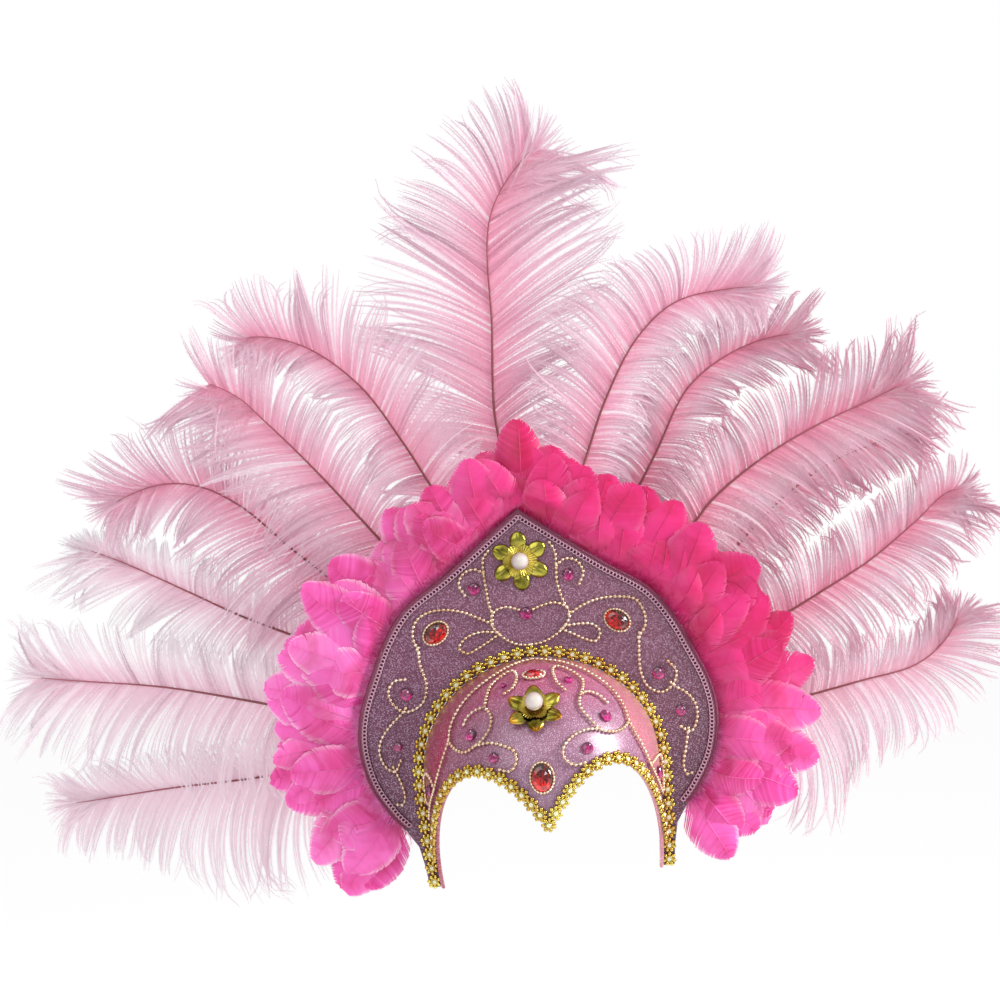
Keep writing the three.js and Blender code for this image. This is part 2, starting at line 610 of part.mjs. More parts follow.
// Matrix of a flat piece seated on the cap, its x axis level
function capSeat(angle, z, lift) {
  const foot = capPoint(angle, z);
  const normal = capNormal(foot.x, foot.y, foot.z);
  const level = new THREE.Vector3(0, 0, 1).cross(normal);
  return frameAt(foot.clone().addScaledVector(normal, lift), level, normal);
}

function capStone(stone) {
  const geometry = stoneGeometry(stone.w, stone.h, stone.rim);
  geometry.applyMatrix4(capSeat(stone.angle, stone.z, CLEAR));
  return geometry;
}

// Flowers and pearls

const FLOWER_PETALS = 6;
const PEARL_RADIUS = 6;
const FLOWER_HUB_HEIGHT = 3.4;
const FLOWER_HUB_RADIUS = 8;
const PETAL_START = 4;        // from the flower's centre
const PETAL_HALF_WIDTH = 5.8;
const PETAL_HALF_HEIGHT = 2;
const PETAL_MIDDLE = 2.3;     // height of a petal's middle above the flower's back

// Six domed petals fused to a hub, lying flat with its back at z = 0
function flowerGeometry(radius, firstTurn) {
  const sides = 8;
  const hub = new THREE.CylinderGeometry(FLOWER_HUB_RADIUS, FLOWER_HUB_RADIUS, FLOWER_HUB_HEIGHT, sides);
  hub.rotateX(Math.PI / 2);
  hub.translate(0, 0, FLOWER_HUB_HEIGHT / 2);
  const pieces = [hub];
  const length = (radius - PETAL_START) / 2;
  for (let i = 0; i < FLOWER_PETALS; i += 1) {
    const petal = new THREE.SphereGeometry(1, 6, 4);
    petal.scale(PETAL_HALF_WIDTH, PETAL_HALF_HEIGHT, length);
    petal.rotateX(Math.PI / 2);
    petal.rotateZ(-Math.PI / 2);
    petal.translate(PETAL_START + length, 0, PETAL_MIDDLE);
    petal.rotateZ(THREE.MathUtils.degToRad(firstTurn) + (2 * Math.PI * i) / FLOWER_PETALS);
    pieces.push(petal);
  }
  return fuse(pieces);
}

function pearlGeometry() {
  const pearl = new THREE.SphereGeometry(PEARL_RADIUS, 9, 6);
  pearl.translate(0, 0, FLOWER_HUB_HEIGHT + CLEAR + PEARL_RADIUS);
  return pearl;
}

const PLATE_FLOWER_SEAT = frameAt(
  new THREE.Vector3(-1.6, -CLEAR, 65.3),
  new THREE.Vector3(1, 0, 0),
  new THREE.Vector3(0, -1, 0),
);
const CAP_FLOWER_SEAT = capSeat(-1.5, -29, CLEAR);

// Feathers

// Depth that leans the whole fan back between its root and its tips
function fanLean(x, z) {
  const radius = Math.hypot(x, z);
  const u = THREE.MathUtils.clamp((radius - FAN_NEAR) / (FAN_FAR - FAN_NEAR), 0, 1);
  return FAN_LEAN * Math.sin(Math.PI * u);
}

function tableAt(values, u) {
  const at = u * (values.length - 1);
  const low = Math.min(values.length - 2, Math.floor(at));
  return THREE.MathUtils.lerp(values[low], values[low + 1], at - low);
}

const BARB_SWEEP = 0.25;      // how far a barb's end lies ahead of its root, as a share of its reach
const LOCK_CUT = 0.8;         // depth of the cuts between the locks, as a share of the reach
const QUILL_STOPS = [0, 0.5, 0.9];

// Plume: a quill that leaves the ruff and a vane whose edges are cut into locks
function plumeGeometry(plume) {
  const quill = new THREE.LineCurve(new THREE.Vector2(...plume.root), new THREE.Vector2(...plume.spine[0]));
  const spine = new THREE.SplineCurve(plume.spine.map(([x, z]) => new THREE.Vector2(x, z)));
  const layerY = LAYER_FIRST_Y + LAYER_STEP * plume.layer;
  const depthAt = (p, out) => THREE.MathUtils.lerp(QUILL_ROOT_Y, layerY + fanLean(p.x, p.y), out);
  const ring = (p, tangent, left, right, half, out) => {
    const side = new THREE.Vector2(-tangent.y, tangent.x);
    const edge = (reach) => {
      const q = p.clone().addScaledVector(side, reach).addScaledVector(tangent, BARB_SWEEP * Math.abs(reach));
      return new THREE.Vector3(q.x, depthAt(q, out), q.y);
    };
    const y = depthAt(p, out);
    return [
      new THREE.Vector3(p.x, y - half, p.y),
      edge(left),
      new THREE.Vector3(p.x, y + half, p.y),
      edge(-right),
    ];
  };
  const along = quill.getTangent(0);
  const rings = QUILL_STOPS.map((u) => {
    const out = u / QUILL_STOPS[2];
    return ring(quill.getPoint(u), along, QUILL_RADIUS, QUILL_RADIUS, QUILL_RADIUS, out);
  });
  const stops = 2 * PLUME_LOCKS;
  for (let i = 0; i < stops; i += 1) {
    const u = i / stops;
    const even = i % 2 === 0;
    const half = VANE_HALF_DEPTH * (1 - u / 2);
    const left = (even ? LOCK_CUT : 1) * tableAt(plume.left, u);
    const right = (even ? 1 : LOCK_CUT) * tableAt(plume.right, u);
    rings.push(ring(spine.getPointAt(u), spine.getTangentAt(u), left, right, half, 1));
  }
  const start = quill.getPoint(0);
  const tip = spine.getPointAt(1);
  return loft([
    [new THREE.Vector3(start.x, QUILL_ROOT_Y, start.y)],
    ...rings,
    [new THREE.Vector3(tip.x, depthAt(tip, 1), tip.y)],
  ]);
}

// Point on the tape's centre line and the outward direction there: u runs from the left leg
// at -1 over the apex at 0 to the right leg at 1
function tapeAt(u) {
  const side = u < 0 ? -1 : 1;
  const legEnd = 0.845;
  const cornerSpan = 0.1;
  const half = outlineCurve();
  const at = Math.max(0.001, legEnd * Math.abs(u));
  const p = half.getPointAt(at);
  const t = half.getTangentAt(at);
  const normal = new THREE.Vector2(-t.y, t.x);
  const blend = Math.min(1, Math.abs(u) / cornerSpan);
  const direction = new THREE.Vector2(normal.x * blend * side, normal.y).normalize();
  const point = p.addScaledVector(normal, -BAND_INSET);
  if (blend < 1) point.x *= blend;
  return { point: new THREE.Vector2(point.x * side, point.y), outward: direction };
}

// Short broad feather from the tape outward, curling forward or back at its tip
function ruffFeather(root, outward, reach, planeY, tipY) {
  const side = new THREE.Vector2(-outward.y, outward.x);
  const ring = (u, halfWidth, halfThick) => {
    const y = planeY + (tipY - planeY) * u * u;
    const p = root.clone().addScaledVector(outward, reach * u);
    const edge = (w) => {
      const q = p.clone().addScaledVector(side, w);
      return new THREE.Vector3(q.x, y, q.y);
    };
    return [
      new THREE.Vector3(p.x, y - halfThick, p.y),
      edge(halfWidth),
      new THREE.Vector3(p.x, y + halfThick, p.y),
      edge(-halfWidth),
    ];
  };
  const tip = root.clone().addScaledVector(outward, reach);
  return loft([
    [new THREE.Vector3(root.x, RUFF_FOOT_Y, root.y)],
    ring(RUFF_BROAD_FROM, RUFF_HALF_WIDTH, RUFF_HALF_THICK),
    ring(RUFF_BROAD_TO, RUFF_HALF_WIDTH, RUFF_HALF_THICK),
    [new THREE.Vector3(tip.x, tipY, tip.y)],
  ]);
}

// One stretch of tape with its feathers; every other segment lies behind its neighbours
function ruffSegment(index) {
  const row = RUFF[index];
  const behind = index % 2 === 1;
  const span = 2 / RUFF.length;
  const start = -1 + span * index;
  const margin = 0.004;
  const stops = 4;
  const tape = [];
  for (let i = 0; i <= stops; i += 1) {
    const { point } = tapeAt(start + margin + (span - 2 * margin) * (i / stops));
    tape.push(new THREE.Vector3(point.x, PLATE_THICK + CLEAR + BAND_THICK / 2, point.y));
  }
  const curve = new THREE.CatmullRomCurve3(tape, false, 'centripetal');
  const pieces = [tubeAlong(curve, ovalShape(BAND_WIDTH, BAND_THICK, 4), 3)];
  for (let i = 0; i < RUFF_FEATHERS; i += 1) {
    const part = (i + 0.5) / RUFF_FEATHERS;
    const u = start + span * part;
    const { point, outward: direction } = tapeAt(u);
    const toLeg = u < 0 ? 1 - part : part;
    const turn = THREE.MathUtils.degToRad(row.turn * toLeg) * Math.sign(u);
    direction.rotateAround(new THREE.Vector2(), turn);
    const plane = behind ? RUFF_BEHIND_Y : RUFF_FOOT_Y;
    const tip = behind ? RUFF_BEHIND_TIP_Y : RUFF_FRONT_TIP_Y;
    pieces.push(ruffFeather(point, direction, row.reach + BAND_INSET, plane, tip + (i % 2)));
  }
  return fuse(pieces);
}

// Band round the back of the head, from one side of the cap to the other
function headBand() {
  const width = 12;
  const thick = 1.6;
  const back = 96;
  const z = -66;
  const points = [];
  const steps = 16;
  const half = CAP_HALF_WIDTH - CAP_WALL / 2;
  for (let i = 0; i <= steps; i += 1) {
    const turn = Math.PI * (i / steps);
    const y = PLATE_THICK + CLEAR + (back - PLATE_THICK) * Math.sin(turn);
    points.push(new THREE.Vector3(-half * Math.cos(turn), y, z));
  }
  const curve = new THREE.CatmullRomCurve3(points, false, 'centripetal');
  return tubeAlong(curve, ovalShape(thick, width, 4), 12);
}

// The headdress

const headdress = new THREE.Group();
headdress.name = 'feather_headdress';
headdress.position.z = SEAT_RISE;

headdress.add(named('cap', capShell(), 'cap_glitter'));
headdress.add(named('crest_plate', platePiece(), 'plate_glitter'));
headdress.add(named('edge_gimp', gimpPiece(), 'gimp_cord'));

const outFront = new THREE.Vector3(0, -1, 0);
headdress.add(named('arch_trim', linkTrim(archCurve(), ARCH_LINK_PITCH, () => outFront, CLEAR), 'gold'));
const capOut = (p) => capNormal(p.x, p.y, p.z);
headdress.add(named('brow_trim', linkTrim(browCurve(), BROW_LINK_PITCH, capOut, 2 * CLEAR), 'gold'));

for (const side of ['left', 'right']) {
  headdress.add(named(`plate_chain_${side}`, plateScrolls(PLATE_SCROLLS[side]), 'gold'));
  headdress.add(named(`cap_chain_${side}`, capScrolls(CAP_SCROLLS[side]), 'gold'));
}

const plateFlower = named('plate_flower', flowerGeometry(20.5, 30), 'gold');
plateFlower.applyMatrix4(PLATE_FLOWER_SEAT);
const platePearl = named('plate_pearl', pearlGeometry(), 'pearl');
platePearl.applyMatrix4(PLATE_FLOWER_SEAT);
const capFlower = named('cap_flower', flowerGeometry(19.5, 30), 'gold');
capFlower.applyMatrix4(CAP_FLOWER_SEAT);
const capPearl = named('cap_pearl', pearlGeometry(), 'pearl');
capPearl.applyMatrix4(CAP_FLOWER_SEAT);
headdress.add(plateFlower, platePearl, capFlower, capPearl);

for (const stone of PLATE_STONES) {
  headdress.add(named(stone.name, plateStone(stone), stone.rim > 0 ? 'red_stone' : 'magenta_stone'));
}
for (const stone of CAP_STONES) {
  headdress.add(named(stone.name, capStone(stone), stone.rim > 0 ? 'red_stone' : 'magenta_stone'));
}

RUFF.forEach((row, index) => {
  headdress.add(named(row.name, ruffSegment(index), 'ruff_feather'));
});

for (const plume of PLUMES) {
  headdress.add(named(plume.name, plumeGeometry(plume), 'plume_feather'));
}

headdress.add(named('head_band', headBand(), 'elastic'));

export default headdress;
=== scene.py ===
import math

import bmesh
import bpy
import numpy as np
from mathutils import Matrix, Vector


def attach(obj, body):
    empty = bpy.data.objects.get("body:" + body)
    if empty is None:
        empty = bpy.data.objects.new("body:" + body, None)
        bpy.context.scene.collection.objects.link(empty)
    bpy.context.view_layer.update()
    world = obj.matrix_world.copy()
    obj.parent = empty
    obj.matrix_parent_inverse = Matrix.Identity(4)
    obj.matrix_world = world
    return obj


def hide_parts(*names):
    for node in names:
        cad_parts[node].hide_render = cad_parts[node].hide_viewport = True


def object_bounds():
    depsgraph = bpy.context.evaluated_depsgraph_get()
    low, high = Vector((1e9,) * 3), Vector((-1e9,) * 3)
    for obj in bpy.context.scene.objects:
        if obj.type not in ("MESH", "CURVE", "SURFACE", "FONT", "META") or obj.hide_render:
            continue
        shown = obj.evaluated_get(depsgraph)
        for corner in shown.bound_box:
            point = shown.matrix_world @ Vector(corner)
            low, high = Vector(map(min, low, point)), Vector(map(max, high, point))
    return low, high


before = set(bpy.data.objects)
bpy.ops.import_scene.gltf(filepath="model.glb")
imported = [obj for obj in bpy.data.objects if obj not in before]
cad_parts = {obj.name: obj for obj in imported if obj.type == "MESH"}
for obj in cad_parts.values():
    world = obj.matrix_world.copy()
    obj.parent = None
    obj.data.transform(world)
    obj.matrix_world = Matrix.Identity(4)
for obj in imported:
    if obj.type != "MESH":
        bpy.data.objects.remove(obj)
cad_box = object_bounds()

# Carnival feather headdress. Lengths are millimetres, turned to metres when a mesh is made.
# X is to the right as seen from the front, the front faces -Y, Z is up.
# Tables count heights from RISE above the crown seat, which is the origin.

MM = 0.001
RISE = 3.6
CLEAR = 0.3             # gap kept between neighbouring pieces
CAP_WALL = 2.5
CAP_HALF_WIDTH = 79.8
CAP_DEPTH = 95.0
CAP_HEIGHT = 70.9
CAP_FOOT_Z = -72.0
TIP_Z = -150.0
TIP_TUCK = 0.05         # share by which the cap is narrower at its lower tips
PLATE_THICK = 3.0
GIMP_WIDTH = 7.0
ARCH_HALF_WIDTH = 84.0
ARCH_HEIGHT = 79.2
ARCH_FOOT_Z = -76.0
ARCH_LINK_PITCH = 9.4
BROW_LINK_PITCH = 8.6
BAND_INSET = 9.0        # from the plate's edge in to where the feathers are fixed
QUILL_ROOT_Y = 4.9
LAYER_FIRST_Y = 21.0
LAYER_STEP = 11.0
FAN_NEAR = 110.0        # the plumes bow back by FAN_LEAN between these distances from the middle
FAN_FAR = 385.0
FAN_LEAN = 12.0

# Right half of the plate's outline, x and z, from the apex to the leg's tip
PLATE_OUTLINE = [(0, 101), (24, 83), (54, 60.5), (84, 40), (99, 20), (110, -3), (120, -28), (123, -50),
                 (118, -77), (105, -100), (89, -120), (83.5, TIP_Z)]

# Lower edge of the cap: angle round the head from the brow's middle, and height
BROW_EDGE = [(0, -101), (7, -87), (14, -76), (23, -68), (33.5, -65), (43.5, -69), (54, -80), (63.5, -95),
             (75, -119), (82, -138), (90, -151)]

# Bead scrolls on the plate, as x and z
PLATE_SCROLLS = {
    "left": [
        [(-5.6, 32.4), (-15, 35), (-23, 32), (-25, 25), (-21.5, 18), (-14, 11.5), (-7, 8.6), (-0.7, 8)],
        [(-22.5, 74), (-26.5, 69), (-27, 60), (-26.5, 50), (-25.5, 38), (-24, 32), (-24, 27)],
        [(-27, 59), (-33, 62.5), (-41, 60), (-44.5, 53), (-41, 45.5)],
        [(-24.5, 24.5), (-33, 29), (-43, 34), (-56, 37), (-68, 36), (-76, 31), (-79, 22), (-76, 9)],
        [(-76, 13), (-76, 2), (-73, -13), (-77, -25), (-89, -29.5), (-97, -23), (-99, -14), (-94, -8),
         (-87, -7.5)],
        [(-88.5, -27), (-92, -31), (-100, -38), (-107, -47), (-109, -56), (-105, -66), (-99.5, -69),
         (-95, -62)],
        [(-100.5, -66), (-96, -78), (-94.5, -87), (-96.5, -92), (-100, -91.5)],
        [(-22, 18.5), (-34, 19.5), (-44, 16), (-48.5, 10), (-43, 6), (-35, 9), (-20.5, 17)],
    ],
    "right": [
        [(4.2, 31.8), (11, 34), (19, 35), (27, 31), (28.5, 25), (24, 18), (15, 11.5), (7, 8.6), (0.7, 8)],
        [(19.5, 76), (22.5, 70), (22.5, 60), (22, 50), (24, 39), (27, 31)],
        [(22.5, 60), (29, 64), (36.5, 62), (40.5, 54), (37, 46)],
        [(28, 26), (37, 31), (48, 34.5), (61, 35), (74, 32), (79, 23), (79, 14), (73.5, 6)],
        [(74.5, 9), (73, -4), (73, -18), (77, -28), (86, -32.5), (94, -28), (97, -19), (92, -12)],
        [(92.5, -26.5), (96, -30), (102, -34), (108, -43), (108, -53), (103, -61), (96.5, -57)],
        [(101.5, -58.5), (98.5, -72), (96, -83), (97.5, -89.5), (101, -89)],
        [(24.5, 18.5), (34, 19), (43, 18), (48, 13), (45, 6.5), (37, 8.5), (30, 12.5), (22, 16.5)],
    ],
}

# Bead scrolls on the cap, as angle round the head and z
CAP_SCROLLS = {
    "left": [
        [(-1.4, -2.3), (-14, -2.6), (-28, -3.4), (-39, -6), (-47, -12), (-52, -19), (-54, -28), (-53.5, -38),
         (-51.5, -46), (-53, -54), (-57, -66), (-62.5, -77.5), (-70, -89), (-75, -99)],
        [(-22, -19), (-17, -16), (-16, -11), (-22, -7.5), (-32, -8.5), (-37, -14), (-35, -20.5), (-33, -26)],
        [(-33, -26), (-27, -31), (-26, -37), (-29, -44), (-33, -48), (-39, -52), (-45, -50.5), (-51.5, -46)],
        [(-33, -26), (-39, -28), (-43, -32), (-43.5, -36)],
        [(-33, -48), (-25, -46.5), (-18, -48.5), (-13, -52), (-12, -58), (-15, -63.5), (-20, -62.5)],
        [(-62.5, -77.5), (-65, -71.5), (-70, -68.5), (-76, -71), (-78, -79), (-76.5, -88), (-70, -89)],
    ],
    "right": [
        [(1.4, -2.3), (14, -2.6), (30, -3.4), (43, -5), (51, -9), (55, -16), (56, -25), (54, -36),
         (51.5, -44), (52.5, -52), (55.5, -62), (60, -74), (67, -86), (74, -97)],
        [(20, -20), (17, -15), (19, -9.5), (27, -7), (36, -9), (39, -15), (34, -20), (28, -24)],
        [(28, -24), (24.5, -30), (27, -38), (31, -45), (38, -48), (46, -47), (51.5, -44)],
        [(28, -24), (35, -23), (41, -26), (43.5, -31)],
        [(31, -45), (23, -44), (15, -47), (10, -53), (10, -59), (14, -63.5), (19, -63)],
        [(60, -74), (66, -72), (72, -71), (79, -74), (82, -82), (79.5, -91), (74, -97)],
    ],
}

# Red stones: name, x or angle, z, width, height, tilt in degrees
PLATE_REDS = [("upper_left", -63.3, 21.8, 17, 12.5, 35), ("upper_right", 60.5, 18.9, 17, 12.5, -35)]
CAP_REDS = [("brow_top", 0, -9.5, 13, 9, 0), ("brow_point", -1, -69, 13.5, 18, 0)]

# Magenta stones: x or angle, z, width, height
PLATE_MAGENTAS = [(-34.4, 49.4, 8.5, 8.5), (30.4, 53, 8.5, 8.5), (-0.6, 29.6, 8.5, 8.5), (-87.1, -17.6, 9, 9),
                  (85, -19.4, 9, 9), (-96, -52.5, 6.3, 6.3), (97.6, -46.2, 7.3, 7.3)]
CAP_MAGENTAS = [(-26, -14, 4, 4), (28, -14.5, 6, 6), (-37.5, -41.5, 8.5, 8.5), (38, -38, 8.5, 8.5),
                (-23, -55, 7, 7), (22, -54.5, 7.6, 7.6), (-70, -79.5, 7.5, 8.5), (73, -82.5, 7.5, 8.5)]

# Plumes: layer from the front, colouring, root, spine to the tip, and the barbs' reach to the left and
# right of the spine at even steps from the ruff to the tip
PLUMES = [
    (2, "pale", (-97, -63), [(-176, -70), (-214, -72), (-262, -73), (-328, -76), (-350, -75)],
     [54, 76, 72, 68, 52, 30, 8], [20, 26, 27, 27, 26, 18, 8]),
    (1, "pale", (-97, -44), [(-170, -24), (-217, -11), (-261, 0), (-329, 12), (-366, 20)],
     [34, 54, 62, 64, 66, 46, 14], [24, 30, 34, 38, 40, 32, 10]),
    (2, "pale", (-92, -11), [(-158, 23), (-202, 44), (-235, 63), (-288, 93), (-322, 108)],
     [28, 40, 45, 46, 46, 36, 8], [24, 30, 30, 28, 22, 12, 5]),
    (1, "pink", (-85, 9), [(-136, 66), (-159, 87), (-193, 121), (-222, 138), (-251, 141), (-300, 124)],
     [34, 55, 56, 50, 40, 28, 10], [20, 26, 28, 38, 40, 28, 9]),
    (0, "pink", (-57, 34), [(-93, 84), (-138, 142), (-168, 177), (-188, 198), (-213, 209), (-221, 198)],
     [28, 52, 60, 56, 54, 50, 32], [22, 30, 33, 36, 36, 24, 6]),
    (1, "pink", (-35, 54), [(-58, 122), (-74, 153), (-103, 199), (-141, 230), (-177, 238), (-198, 227)],
     [24, 30, 30, 28, 26, 20, 8], [30, 38, 44, 50, 46, 30, 8]),
    (2, "pink", (-3, 70), [(-7, 144), (-9, 172), (-5, 229), (2, 310), (33, 350), (58, 366)],
     [42, 70, 82, 84, 66, 46, 14], [38, 54, 68, 84, 80, 66, 12]),
    (1, "pink", (22, 59), [(54, 137), (69, 170), (95, 211), (124, 234), (161, 240), (205, 238)],
     [30, 44, 54, 60, 44, 32, 8], [24, 28, 29, 29, 30, 28, 10]),
    (2, "rose", (48, 45), [(80, 97), (102, 131), (128, 173), (154, 192), (184, 203), (229, 206)],
     [22, 26, 28, 28, 26, 20, 8], [26, 32, 33, 32, 32, 30, 10]),
    (0, "rose", (66, 25), [(118, 75), (136, 94), (173, 119), (215, 139), (254, 153), (297, 170)],
     [26, 34, 37, 39, 40, 34, 8], [32, 42, 48, 52, 56, 44, 14]),
    (3, "rose", (87, 7), [(150, 55), (175, 78), (202, 98), (230, 113), (266, 124), (306, 130)],
     [16, 20, 22, 22, 22, 18, 6], [24, 30, 32, 32, 30, 22, 8]),
    (1, "rose", (99, -26), [(170, 4), (209, 23), (244, 41), (277, 64), (304, 84), (330, 82)],
     [28, 32, 33, 32, 28, 20, 6], [34, 44, 48, 48, 44, 36, 10]),
    (2, "rose", (104, -62), [(185, -52), (232, -44), (272, -36), (294, -20), (313, 10)],
     [26, 30, 31, 30, 26, 20, 6], [58, 70, 62, 50, 52, 34, 8]),
]

# Ruff segments from one leg over the apex to the other: reach, and how far the outermost feather turns down
RUFF = [(56, -34), (66, -4), (58, 0), (54, 0), (52, 0), (52, 0), (50, 0), (54, 0), (60, 0), (64, -6),
        (54, -29)]


# Arrays and paths

def unit(v):
    return v / np.linalg.norm(v, axis=-1, keepdims=True).clip(1e-9)


def at_depth(flat, y):
    """Points in space from flat ones, which hold x and z, and their y."""
    return np.stack([flat[..., 0], np.broadcast_to(y, flat.shape[:-1]), flat[..., 1]], -1)


def turned(flat, degrees):
    """A flat vector turned anticlockwise."""
    c, s = math.cos(math.radians(degrees)), math.sin(math.radians(degrees))
    return np.array([c * flat[0] - s * flat[1], s * flat[0] + c * flat[1]])


def spline(points, steps=16):
    """Centripetal Catmull-Rom curve through the points, as short straight steps."""
    p = np.asarray(points, float)
    p = np.vstack([2 * p[0] - p[1], p, 2 * p[-1] - p[-2]])
    out = []
    for i in range(1, len(p) - 2):
        a, b, c, d = p[i - 1:i + 3]
        t1 = np.linalg.norm(b - a) ** 0.5
        t2 = t1 + np.linalg.norm(c - b) ** 0.5
        t3 = t2 + np.linalg.norm(d - c) ** 0.5
        t = np.linspace(t1, t2, steps, endpoint=False)[:, None]
        ab = (t1 - t) / t1 * a + t / t1 * b
        bc = (t2 - t) / (t2 - t1) * b + (t - t1) / (t2 - t1) * c
        cd = (t3 - t) / (t3 - t2) * c + (t - t2) / (t3 - t2) * d
        abc = (t2 - t) / t2 * ab + t / t2 * bc
        bcd = (t3 - t) / (t3 - t1) * bc + (t - t1) / (t3 - t1) * cd
        out.append((t2 - t) / (t2 - t1) * abc + (t - t1) / (t2 - t1) * bcd)
    return np.vstack([*out, p[-2:-1]])


def lengths(path):
    return np.concatenate([[0], np.cumsum(np.linalg.norm(np.diff(path, axis=0), axis=1))])


def at_shares(path, shares):
    """Points at shares of a path's length."""
    s = lengths(path)
    u = np.asarray(shares) * s[-1]
    return np.stack([np.interp(u, s, path[:, k]) for k in range(path.shape[1])], 1)


def even(path, pitch):
    """The path again with points about a pitch apart."""
    count = max(2, int(round(lengths(path)[-1] / pitch)) + 1)
    return at_shares(path, np.linspace(0, 1, count))


def carried(path):
    """Tangents and two cross directions that turn as little as they can along a path."""
    t = unit(np.gradient(path, axis=0))
    first = np.cross(t[0], (0, 1, 0))
    if np.linalg.norm(first) < 0.1:
        first = np.cross(t[0], (0, 0, 1))
    n = np.zeros_like(t)
    n[0] = unit(first)
    for i in range(1, len(t)):
        n[i] = unit(n[i - 1] - n[i - 1].dot(t[i]) * t[i])
    return t, n, np.cross(t, n)


# Meshes

class Shape:
    """Vertices, faces and values of a piece as it grows. along runs 0 to 1 from a root to its end, tone is
    a shade from 0 to 1, and slot is the number of the material."""

    def __init__(self):
        self.verts, self.values, self.faces, self.count = [], [], [], 0

    def add(self, verts, faces, along=0.0, tone=0.5, slot=0):
        verts = np.reshape(verts, (-1, 3))
        n = len(verts)
        values = [np.broadcast_to(np.ravel(v), n) for v in (along, tone)]
        self.verts.append(verts)
        self.values.append(np.stack(values, 1))
        self.faces.append((np.asarray(faces) + self.count, slot))
        self.count += n

    def build(self, name, materials, flat=()):
        mesh = bpy.data.meshes.new(name)
        verts = np.concatenate(self.verts) + (0, 0, RISE)
        mesh.vertices.add(len(verts))
        mesh.vertices.foreach_set("co", (verts * MM).astype(np.float32).ravel())
        sizes = np.concatenate([np.full(len(f), f.shape[1]) for f, _ in self.faces])
        slots = np.concatenate([np.full(len(f), s) for f, s in self.faces])
        corners = np.concatenate([f.ravel() for f, _ in self.faces])
        mesh.loops.add(len(corners))
        mesh.loops.foreach_set("vertex_index", corners.astype(np.int32))
        mesh.polygons.add(len(sizes))
        starts = np.concatenate([[0], np.cumsum(sizes)[:-1]])
        mesh.polygons.foreach_set("loop_start", starts.astype(np.int32))
        mesh.polygons.foreach_set("material_index", slots.astype(np.int32))
        mesh.polygons.foreach_set("use_smooth", ~np.isin(slots, flat))
        for material in materials:
            mesh.materials.append(material)
        mesh.update(calc_edges=True)
        values = np.concatenate(self.values).astype(np.float32)
        for k, label in enumerate(("along", "tone")):
            layer = mesh.attributes.new(label, "FLOAT", "POINT")
            layer.data.foreach_set("value", np.ascontiguousarray(values[:, k]))
        obj = bpy.data.objects.new(name, mesh)
        bpy.context.collection.objects.link(obj)
        return obj


def grid_faces(rows, columns, closed=False):
    """Quads of a grid whose vertices run along the columns. A closed one joins its last column to its
    first."""
    r, c = np.meshgrid(np.arange(rows - 1), np.arange(columns if closed else columns - 1), indexing="ij")
    near, c = r.ravel() * columns, c.ravel()
    far = near + columns
    nxt = (c + 1) % columns
    return np.stack([near + c, near + nxt, far + nxt, far + c], 1)


def ico(level):
    bm = bmesh.new()
    bmesh.ops.create_icosphere(bm, subdivisions=level, radius=1)
    verts = np.array([v.co for v in bm.verts])
    faces = np.array([[v.index for v in f.verts] for f in bm.faces])
    bm.free()
    return verts, faces


BEAD_FORMS = {level: ico(level) for level in (2, 3, 4)}


def add_beads(shape, centres, radius, level=2, slot=0, tone=0.5):
    """Round beads of one radius at the centres."""
    form, faces = BEAD_FORMS[level]
    centres = np.reshape(centres, (-1, 3))
    every = faces[None] + (np.arange(len(centres)) * len(form))[:, None, None]
    shade = np.repeat(np.broadcast_to(tone, len(centres)), len(form))
    shape.add(centres[:, None] + radius * form, every.reshape(-1, 3), tone=shade, slot=slot)


def add_tube(shape, path, radius, sides=6, slot=0, along=None, tone=0.5):
    """Tube along a path; radius is one number or one for each point."""
    _, n, b = carried(path)
    turn = 2 * np.pi * np.arange(sides) / sides
    r = np.broadcast_to(np.ravel(radius), len(path))[:, None, None]
    ring = n[:, None] * np.cos(turn)[None, :, None] + b[:, None] * np.sin(turn)[None, :, None]
    verts = (path[:, None] + ring * r).reshape(-1, 3)
    verts = np.vstack([verts, path[:1], path[-1:]])
    body = grid_faces(len(path), sides, closed=True)
    k = np.arange(sides)
    nxt = (k + 1) % sides
    foot = len(path) * sides
    last = (len(path) - 1) * sides
    caps = np.vstack([np.stack([np.full(sides, foot), nxt, k], 1),
                      np.stack([np.full(sides, foot + 1), last + k, last + nxt], 1)])
    u = np.linspace(0, 1, len(path)) if along is None else along
    shades = np.concatenate([np.repeat(u, sides), [u[0], u[-1]]])
    shape.add(verts, body, along=shades, tone=tone, slot=slot)
    shape.faces.append((caps + shape.count - len(verts), slot))


def add_ribbons(shape, lines, across, half, along, tone, slot=0):
    """Many flat ribbons at once: lines and across are (ribbons, points, 3), half their half widths."""
    count, points = lines.shape[:2]
    half, along, tone = (np.broadcast_to(value, (count, points)) for value in (half, along, tone))
    side = across * half[..., None]
    verts = np.stack([lines - side, lines + side], 2)
    faces = grid_faces(points, 2)[None] + (np.arange(count) * points * 2)[:, None, None]
    shape.add(verts, faces.reshape(-1, 4), np.repeat(along, 2), np.repeat(tone, 2), slot)


def add_spines(shape, foot, lengthwise, out, base, reach, along, tone):
    """Many slender triangles at once, each from a base on a line out to a point."""
    half = lengthwise * base / 2
    verts = np.stack([foot - half, foot + half, foot + out * reach[:, None]], 1)
    shape.add(verts, np.arange(len(foot) * 3).reshape(-1, 3), np.repeat(along, 3), np.repeat(tone, 3))


def piece(shape, name, materials, replaced, flat=()):
    obj = shape.build(name, materials, flat)
    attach(obj, "root")
    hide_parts(*replaced)


# Surfaces of the cap and plate

